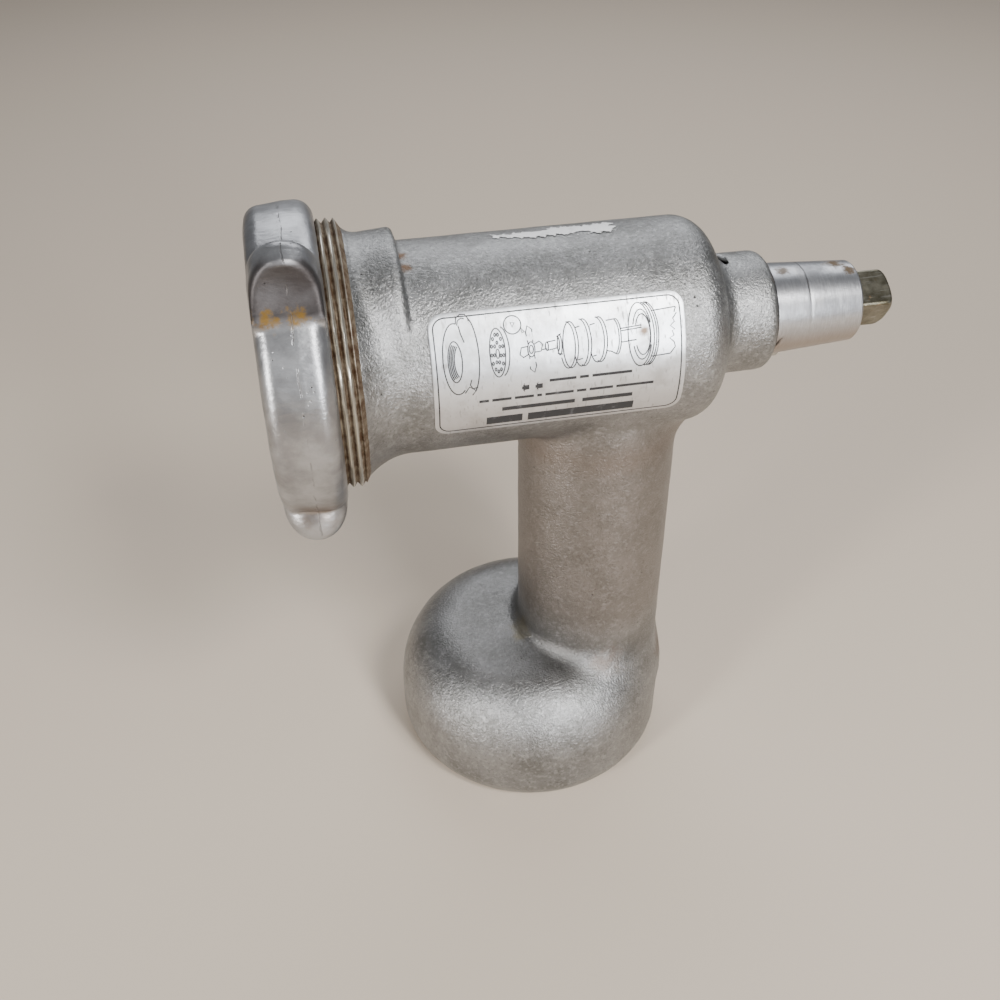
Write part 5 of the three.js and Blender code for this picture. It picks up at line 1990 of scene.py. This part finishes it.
# ------------------------------------------------------------------ the label
@dataclass(frozen=True)
class Label:
    """The foil label with its exploded drawing, and the torn paper on top of the barrel.

    The drawing is laid out in shares of the label: u along it from the ring's end, v down it from
    its upper edge.
    """

    bench: Bench
    front_x: float = -59.4
    rear_x: float = 17.0
    low: float = -23.4
    high: float = 45.4
    corner: float = 4.6
    radius: float = 33.27
    thickness: float = 0.14
    pen: float = 0.36
    ink_rise: float = 0.035

    @property
    def length(self) -> float:
        """Size along the barrel."""
        return self.rear_x - self.front_x

    @property
    def height(self) -> float:
        """Size round the barrel."""
        return math.radians(self.high - self.low) * self.radius

    def wrapped(self, u: float, v: float, rise: float) -> Place:
        """A place on the label, lifted by rise."""
        return AXES.around(
            self.front_x + u * self.length,
            self.high - v * (self.high - self.low),
            self.radius + rise,
        )

    def _sheet(self) -> None:
        """Makes the foil with its rounded corners."""
        rows = 40
        stations = []
        for turn in np.linspace(0.0, math.pi / 2, 10):
            stations.append((self.corner * (1.0 - math.cos(turn)), self.corner * (1.0 - math.sin(turn))))
        left = [(x / self.length, inset / self.height) for x, inset in stations]
        columns = left + [(1.0 - u, inset) for u, inset in reversed(left)]
        layers = [(0.0, 0.35), (self.thickness * 0.7, 0.1), (self.thickness, 0.35)]
        points = []
        faces: list[Sequence[int]] = []
        for rise, pull in layers:
            for u, inset in columns:
                shrunk = 0.5 + (u - 0.5) * (1.0 - 2.0 * pull / self.length)
                edge = inset + pull / self.height
                for j in range(rows + 1):
                    v = edge + (1.0 - 2.0 * edge) * j / rows
                    points.append(self.wrapped(shrunk, v, rise))
        size = (rows + 1) * len(columns)

        def at(layer: int, column: int, row: int) -> int:
            """Number of one corner."""
            return layer * size + column * (rows + 1) + row

        last = len(columns) - 1
        for i in range(last):
            for j in range(rows):
                faces.append((at(2, i, j), at(2, i + 1, j), at(2, i + 1, j + 1), at(2, i, j + 1)))
                faces.append((at(0, i, j), at(0, i, j + 1), at(0, i + 1, j + 1), at(0, i + 1, j)))
        border = [(i, 0) for i in range(last)] + [(last, j) for j in range(rows)]
        border += [(i, rows) for i in range(last, 0, -1)] + [(0, j) for j in range(rows, 0, -1)]
        for number, spot in enumerate(border):
            after = border[(number + 1) % len(border)]
            for layer in (0, 1):
                faces.append(
                    (at(layer, *spot), at(layer, *after), at(layer + 1, *after), at(layer + 1, *spot))
                )
        shell = Shell(np.array(points), faces)
        self.bench.piece("foil_label", shell, Foil(), Body.ROOT, Slot.LABEL, ["label_plate"], sharp=50.0)

    # ---- strokes of the drawing, as lists of (u, v)
    @staticmethod
    def _oval(
        u: float, v: float, ru: float, rv: float, start: float = 0.0, end: float = 360.0, steps: int = 36
    ) -> Outline:
        """Part of an ellipse."""
        turns = np.radians(np.linspace(start, end, steps + 1))
        return [(u + ru * math.cos(t), v + rv * math.sin(t)) for t in turns]

    def _ring_strokes(self) -> list[Outline]:
        """The ring nut with its threaded opening and two lugs.

        Returns:
            Its strokes.
        """
        strokes = [
            self._oval(0.098, 0.345, 0.052, 0.262, 62, 282),
            self._oval(0.148, 0.335, 0.036, 0.285, -76, 66),
            self._oval(0.092, 0.36, 0.027, 0.150),
        ]
        for shift in (0.006, 0.012, 0.018, 0.024):
            strokes.append(self._oval(0.092 + shift, 0.36, 0.027, 0.150 - shift, 118, 242, 20))
        strokes += [
            [(0.108, 0.088), (0.112, 0.045), (0.128, 0.022), (0.146, 0.024), (0.157, 0.055), (0.158, 0.075)],
            [(0.112, 0.10), (0.117, 0.066), (0.130, 0.050), (0.143, 0.056)],
            [(0.117, 0.10), (0.122, 0.16), (0.133, 0.225)],
            [(0.122, 0.603), (0.140, 0.555), (0.165, 0.59), (0.150, 0.625)],
            [(0.150, 0.50), (0.143, 0.54), (0.153, 0.572), (0.172, 0.565)],
        ]
        return strokes

    def _plate_strokes(self) -> list[Outline]:
        """The perforated plate.

        Returns:
            Its strokes.
        """
        strokes = [
            self._oval(0.256, 0.325, 0.030, 0.178),
            self._oval(0.271, 0.32, 0.031, 0.180, -84, 80),
            self._oval(0.256, 0.33, 0.0065, 0.034, steps=14),
        ]
        for share, count in ((0.42, 7), (0.76, 13)):
            for i in range(count):
                turn = (i + 0.3) / count * TAU
                strokes.append(
                    self._oval(
                        0.256 + 0.030 * share * math.cos(turn),
                        0.325 + 0.178 * share * math.sin(turn),
                        0.0034,
                        0.0125,
                        steps=8,
                    )
                )
        return strokes

    def _knife_strokes(self) -> list[Outline]:
        """The callout circle with its pointer, the knife and its post.

        Returns:
            Their strokes.
        """
        strokes = [
            self._oval(0.322, 0.135, 0.033, 0.066),
            [(0.315, 0.118), (0.330, 0.121), (0.321, 0.152), (0.315, 0.118)],
            [(0.352, 0.163), (0.366, 0.197), (0.357, 0.199), (0.352, 0.163)],
            self._oval(0.386, 0.325, 0.008, 0.03, steps=14),
            self._oval(0.386, 0.325, 0.014, 0.055, steps=18),
        ]
        arm = [(-0.010, 0.045), (-0.013, 0.14), (0.002, 0.175), (0.012, 0.13), (0.009, 0.045)]
        for turn in (8.0, 98.0, 188.0, 278.0):
            c, s = math.cos(math.radians(turn)), math.sin(math.radians(turn))
            strokes.append([(0.386 + (a * c + b * s * 0.26), 0.325 + (b * c - a * s * 3.0)) for a, b in arm])
        strokes += [
            [(0.428, 0.335), (0.447, 0.332)],
            [(0.447, 0.285), (0.482, 0.278)],
            [(0.447, 0.345), (0.486, 0.335)],
            self._oval(0.447, 0.315, 0.006, 0.03, steps=12),
            self._oval(0.489, 0.305, 0.008, 0.055, -90, 90, 10),
        ]
        return strokes

    def _worm_strokes(self) -> list[Outline]:
        """The worm with four flights and its square shaft.

        Returns:
            Its strokes.
        """
        strokes = [
            self._oval(0.497, 0.315, 0.009, 0.075, steps=18),
            [(0.486, 0.255), (0.505, 0.235)],
            [(0.487, 0.375), (0.508, 0.385)],
        ]
        for u, v, rv in ((0.540, 0.325, 0.17), (0.592, 0.318, 0.172), (0.655, 0.308, 0.165)):
            strokes.append(self._oval(u, v, 0.030, rv, -100, 112))
            strokes.append(self._oval(u - 0.012, v, 0.030, rv, -92, 98))
            strokes.append(self._oval(u - 0.012, v, 0.030, rv, 98, 150, 8))
        strokes += [
            self._oval(0.540, 0.325, 0.030, 0.17, 112, 262),
            [(0.560, 0.205), (0.580, 0.195)],
            [(0.566, 0.44), (0.586, 0.432)],
            [(0.620, 0.195), (0.640, 0.188)],
            [(0.626, 0.425), (0.640, 0.42)],
            [(0.684, 0.175), (0.722, 0.170)],
            [(0.682, 0.395), (0.700, 0.405), (0.722, 0.43)],
            self._oval(0.722, 0.30, 0.018, 0.13, -90, 90, 16),
            self._oval(0.714, 0.30, 0.018, 0.125, -84, 84, 16),
            [(0.740, 0.245), (0.823, 0.235)],
            [(0.741, 0.262), (0.823, 0.252)],
            [(0.738, 0.345), (0.800, 0.338)],
        ]
        return strokes

    def _mouth_strokes(self) -> list[Outline]:
        """The barrel's threaded mouth with its torn end.

        Returns:
            Its strokes.
        """
        strokes = [
            self._oval(0.815, 0.305, 0.047, 0.235, 20, 340),
            self._oval(0.822, 0.305, 0.036, 0.185, -155, 155),
            self._oval(0.826, 0.305, 0.030, 0.150, -150, 150),
        ]
        for shift in (0.010, 0.020, 0.028):
            strokes.append(self._oval(0.815 + shift, 0.305, 0.047, 0.235, -86, 86))
        strokes += [
            [(0.865, 0.14), (0.965, 0.128)],
            [(0.858, 0.475), (0.935, 0.468)],
            [
                (0.965, 0.128), (0.957, 0.165), (0.966, 0.172), (0.949, 0.212), (0.955, 0.235),
                (0.938, 0.262), (0.955, 0.292), (0.944, 0.300), (0.951, 0.335), (0.933, 0.352),
                (0.951, 0.385), (0.955, 0.42), (0.940, 0.455), (0.935, 0.468),
            ],
        ]
        return strokes

    def _border(self) -> Outline:
        """The thin line round the label.

        Returns:
            One closed stroke.
        """
        inset = 1.5
        bend = 3.4
        a, b = inset / self.length, inset / self.height
        ra, rb = bend / self.length, bend / self.height
        stroke: Outline = []
        left, right, top, foot = a + ra, 1 - a - ra, b + rb, 1 - b - rb
        for u, v, start in ((right, top, 270), (right, foot, 0), (left, foot, 90), (left, top, 180)):
            stroke += self._oval(u, v, ra, rb, start, start + 90, 8)
        spaced: Outline = []
        for (u0, v0), (u1, v1) in zip(stroke, stroke[1:] + stroke[:1]):
            count = max(1, int(abs(v1 - v0) * self.height / 1.5))
            spaced += [(u0 + (u1 - u0) * i / count, v0 + (v1 - v0) * i / count) for i in range(count)]
        return spaced + spaced[:1]

    def _ribbon(self, stroke: Outline, width: float) -> Shell:
        """A stroke as a thin raised strip on the foil.

        Args:
            stroke: Its points in shares of the label.
            width: Its width in millimetres.

        Returns:
            The closed shell.
        """
        scale = np.array([self.length, self.height])
        line = np.array(stroke) * scale
        closed = len(line) > 3 and np.linalg.norm(line[0] - line[-1]) < 1e-6
        if closed:
            line = line[:-1]
        before = np.roll(line, 1, axis=0)
        after = np.roll(line, -1, axis=0)
        if not closed:
            before[0] = line[0]
            after[-1] = line[-1]
        heading = after - before
        heading /= np.maximum(np.linalg.norm(heading, axis=1, keepdims=True), 1e-9)
        side = np.stack([-heading[:, 1], heading[:, 0]], axis=1) * width / 2.0
        points = []
        for rise in (self.thickness - 0.01, self.thickness + self.ink_rise):
            for edge in (line + side, line - side):
                points += [self.wrapped(u, v, rise) for u, v in edge / scale]
        count = len(line)
        a, b, c, d = 0, count, 2 * count, 3 * count
        faces: list[Sequence[int]] = []
        for i in range(count if closed else count - 1):
            k = (i + 1) % count
            faces += [
                (c + i, c + k, d + k, d + i),
                (a + i, b + i, b + k, a + k),
                (a + i, a + k, c + k, c + i),
                (b + i, d + i, d + k, b + k),
            ]
        if not closed:
            end = count - 1
            faces += [(a, c, d, b), (a + end, b + end, d + end, c + end)]
        return Shell(np.array(points), faces)

    def _bars(self) -> list[tuple[Outline, float]]:
        """Plain bars that stand for the lines of print, and the two arrows.

        Returns:
            Strokes with their widths.
        """
        bars: list[tuple[Outline, float]] = []

        def row(start: float, end: float, v: float, tall: float, pieces: Sequence[float], gap: float) -> None:
            """One line of bars.

            Args:
                start: Where it starts along the label.
                end: Where it ends.
                v: Its place down the label.
                tall: Its height in millimetres.
                pieces: Relative lengths of its bars.
                gap: Space between them, in shares of the label.
            """
            room = end - start - gap * (len(pieces) - 1)
            u = start
            for piece in pieces:
                size = room * piece / sum(pieces)
                bars.append(([(u, v), (u + size, v)], tall))
                u += size + gap

        row(0.452, 0.782, 0.575, 0.85, (6, 2, 9), 0.014)
        row(0.175, 0.872, 0.690, 0.85, (2, 4, 4, 1, 6, 2, 5, 8), 0.013)
        row(0.265, 0.790, 0.782, 1.35, (10, 7), 0.030)
        row(0.205, 0.800, 0.893, 3.1, (3, 9), 0.022)
        for u in (0.342, 0.395):
            bars.append(([(u + 0.012, 0.612), (u + 0.030, 0.610)], 1.5))
            bars.append(([(u + 0.012, 0.612), (u + 0.010, 0.612)], 2.9))
            bars.append(([(u + 0.010, 0.612), (u + 0.006, 0.612)], 2.0))
            bars.append(([(u + 0.006, 0.612), (u + 0.001, 0.612)], 0.9))
        return bars

    def _print(self) -> None:
        """Makes the printed drawing as thin raised ink."""
        strokes = self._ring_strokes() + self._plate_strokes() + self._knife_strokes()
        strokes += self._worm_strokes() + self._mouth_strokes()
        inked = [(stroke, self.pen) for stroke in strokes] + [(self._border(), self.pen * 1.1)]
        for stroke, tall in self._bars():
            strips = max(1, math.ceil(tall / 0.5))
            for k in range(strips):
                shift_v = tall * ((k + 0.5) / strips - 0.5) / self.height
                inked.append(([(u, v + shift_v) for u, v in stroke], tall / strips + 0.03))
        points: list[np.ndarray] = []
        faces: list[Sequence[int]] = []
        shift = 0
        for stroke, width in inked:
            part = self._ribbon(stroke, width)
            faces += [[i + shift for i in face] for face in part.faces]
            points.append(part.points)
            shift += len(part.points)
        made = self.bench.blank("label_print", Shell(np.vstack(points), faces), 50.0, 1e-8)
        self.bench.finish(made, Ink(), Body.ROOT, Slot.LABEL)

    def _paper(self) -> None:
        """Makes the scrap of paper on top of the barrel."""
        start, end = -35.0, 2.8
        base = self.radius + 0.02

        def distance(x: np.ndarray, y: np.ndarray, z: np.ndarray) -> np.ndarray:
            """Signed distance in the flat: x along, y round the barrel, z off it."""
            ragged = 0.5 * np.sin(1.9 * x + 0.7 * y) + 0.35 * np.sin(4.3 * x - 1.3 * y + 1.1)
            half = 1.3 + 2.1 * ramp(x, -34.0, -18.0) + 0.5 * ramp(x, -8.0, 0.0)
            across = np.abs(y - 0.4 * np.sin(0.3 * x)) - half + ragged
            ends = np.maximum(start - x, x - end + 0.6 * np.sin(2.3 * y)) + 0.5 * np.sin(1.7 * y + 0.4)
            hole = 1.5 - np.hypot((x + 21.0) / 2.6, (y - 2.6) / 0.9)
            tear = 1.2 - np.hypot((x + 7.5) / 2.2, (y + 3.0) / 0.8)
            sheet = np.maximum(np.maximum(across, ends), np.maximum(hole, tear))
            return np.maximum(sheet, np.abs(z) - 0.16)

        shell = Mesher((start - 2.0, -7.0, -0.5), (end + 2.0, 7.0, 0.5), 0.35, 3).mesh(distance)
        placed = [
            AXES.around(x, 95.0 + math.degrees(y / base), base + z * 0.45 + 0.10) for x, y, z in shell.points
        ]
        shell.points = np.array(placed)
        self.bench.piece("paper_scrap", shell, TornPaper(), Body.ROOT, Slot.LABEL, sharp=60.0)

    def build(self) -> None:
        """Makes the label, its print and the paper scrap."""
        self._sheet()
        self._print()
        self._paper()


# ------------------------------------------------------------------ studio
@dataclass(frozen=True)
class Softbox:
    """One large soft light."""

    name: str
    place: Place
    size: tuple[float, float]
    power: float
    colour: Colour = (1.0, 1.0, 1.0)
    target: Place = (0.0, 0.0, 0.12)

    def build(self) -> None:
        """Adds the light."""
        lamp = bpy.data.lights.new(self.name, "AREA")
        lamp.shape = "RECTANGLE"
        lamp.size, lamp.size_y = self.size
        lamp.energy = self.power
        lamp.color = self.colour
        made = bpy.data.objects.new(self.name, lamp)
        made.location = self.place
        aim = Vector(self.target) - Vector(self.place)
        made.rotation_euler = aim.to_track_quat("-Z", "Y").to_euler()
        bpy.context.scene.collection.objects.link(made)


@dataclass(frozen=True)
class Studio:
    """The floor, the lights and the camera."""

    bench: Bench
    lens: float = 40.20
    eye: Place = (-90.9937, -304.8487, 352.6234)
    forward: Place = (0.143942, 0.769796, -0.621848)
    up: Place = (0.127379, 0.608751, 0.783069)
    lights: tuple[Softbox, ...] = (
        Softbox("left_window", (-0.84, -0.56, 0.38), (0.16, 0.60), 9.0, (1.0, 0.985, 0.96)),
        Softbox("right_window", (0.32, -0.94, 0.46), (0.16, 0.66), 10.0, (0.97, 0.985, 1.0)),
        Softbox("key", (0.30, -0.58, 0.86), (0.26, 0.26), 7.5, (1.0, 0.985, 0.96)),
        Softbox("back_wall", (0.22, 0.80, 0.95), (1.2, 0.7), 8.0, (0.95, 0.97, 1.0)),
    )

    def _camera(self) -> None:
        """Places the camera."""
        forward = Vector(self.forward).normalized()
        up = Vector(self.up)
        right = forward.cross(up).normalized()
        up = right.cross(forward)
        data = bpy.data.cameras.new("camera")
        data.sensor_width = 36.0
        data.lens = self.lens
        data.clip_start = 0.01
        made = bpy.data.objects.new("camera", data)
        turn = Matrix((right, up, -forward)).transposed().to_4x4()
        made.matrix_world = Matrix.Translation(Vector(AXES.to_row(np.array(self.eye)))) @ turn
        bpy.context.scene.collection.objects.link(made)
        bpy.context.scene.camera = made

    def _floor(self) -> None:
        """Lays the floor."""
        half = 3.0
        corners = [(-half, -half, 0.0), (half, -half, 0.0), (half, half, 0.0), (-half, half, 0.0)]
        mesh = bpy.data.meshes.new("floor")
        mesh.from_pydata(corners, [], [(0, 1, 2, 3)])
        mesh.materials.append(self.bench.dressing(StudioFloor()))
        floor = bpy.data.objects.new("floor", mesh)
        bpy.context.scene.collection.objects.link(floor)

    def _world(self) -> None:
        """Sets the even light from all round."""
        world = bpy.data.worlds.new("studio")
        world.use_nodes = True
        background = world.node_tree.nodes["Background"]
        background.inputs["Color"].default_value = (0.82, 0.84, 0.88, 1.0)
        background.inputs["Strength"].default_value = 0.22
        bpy.context.scene.world = world

    def build(self) -> None:
        """Sets the stage."""
        self._camera()
        self._world()
        self._floor()
        for light in self.lights:
            light.build()


def main() -> None:
    """Builds every sub-assembly in order."""
    logging.basicConfig(level=logging.INFO, format="%(message)s")
    bench = Bench()
    Studio(bench).build()
    for part in (Casting, Mouth, Spigot, Ring, CuttingEnd, DriveLine, Label):
        part(bench).build()
        log.info("%s done", part.__name__)


if __name__ == "__main__":
    main()
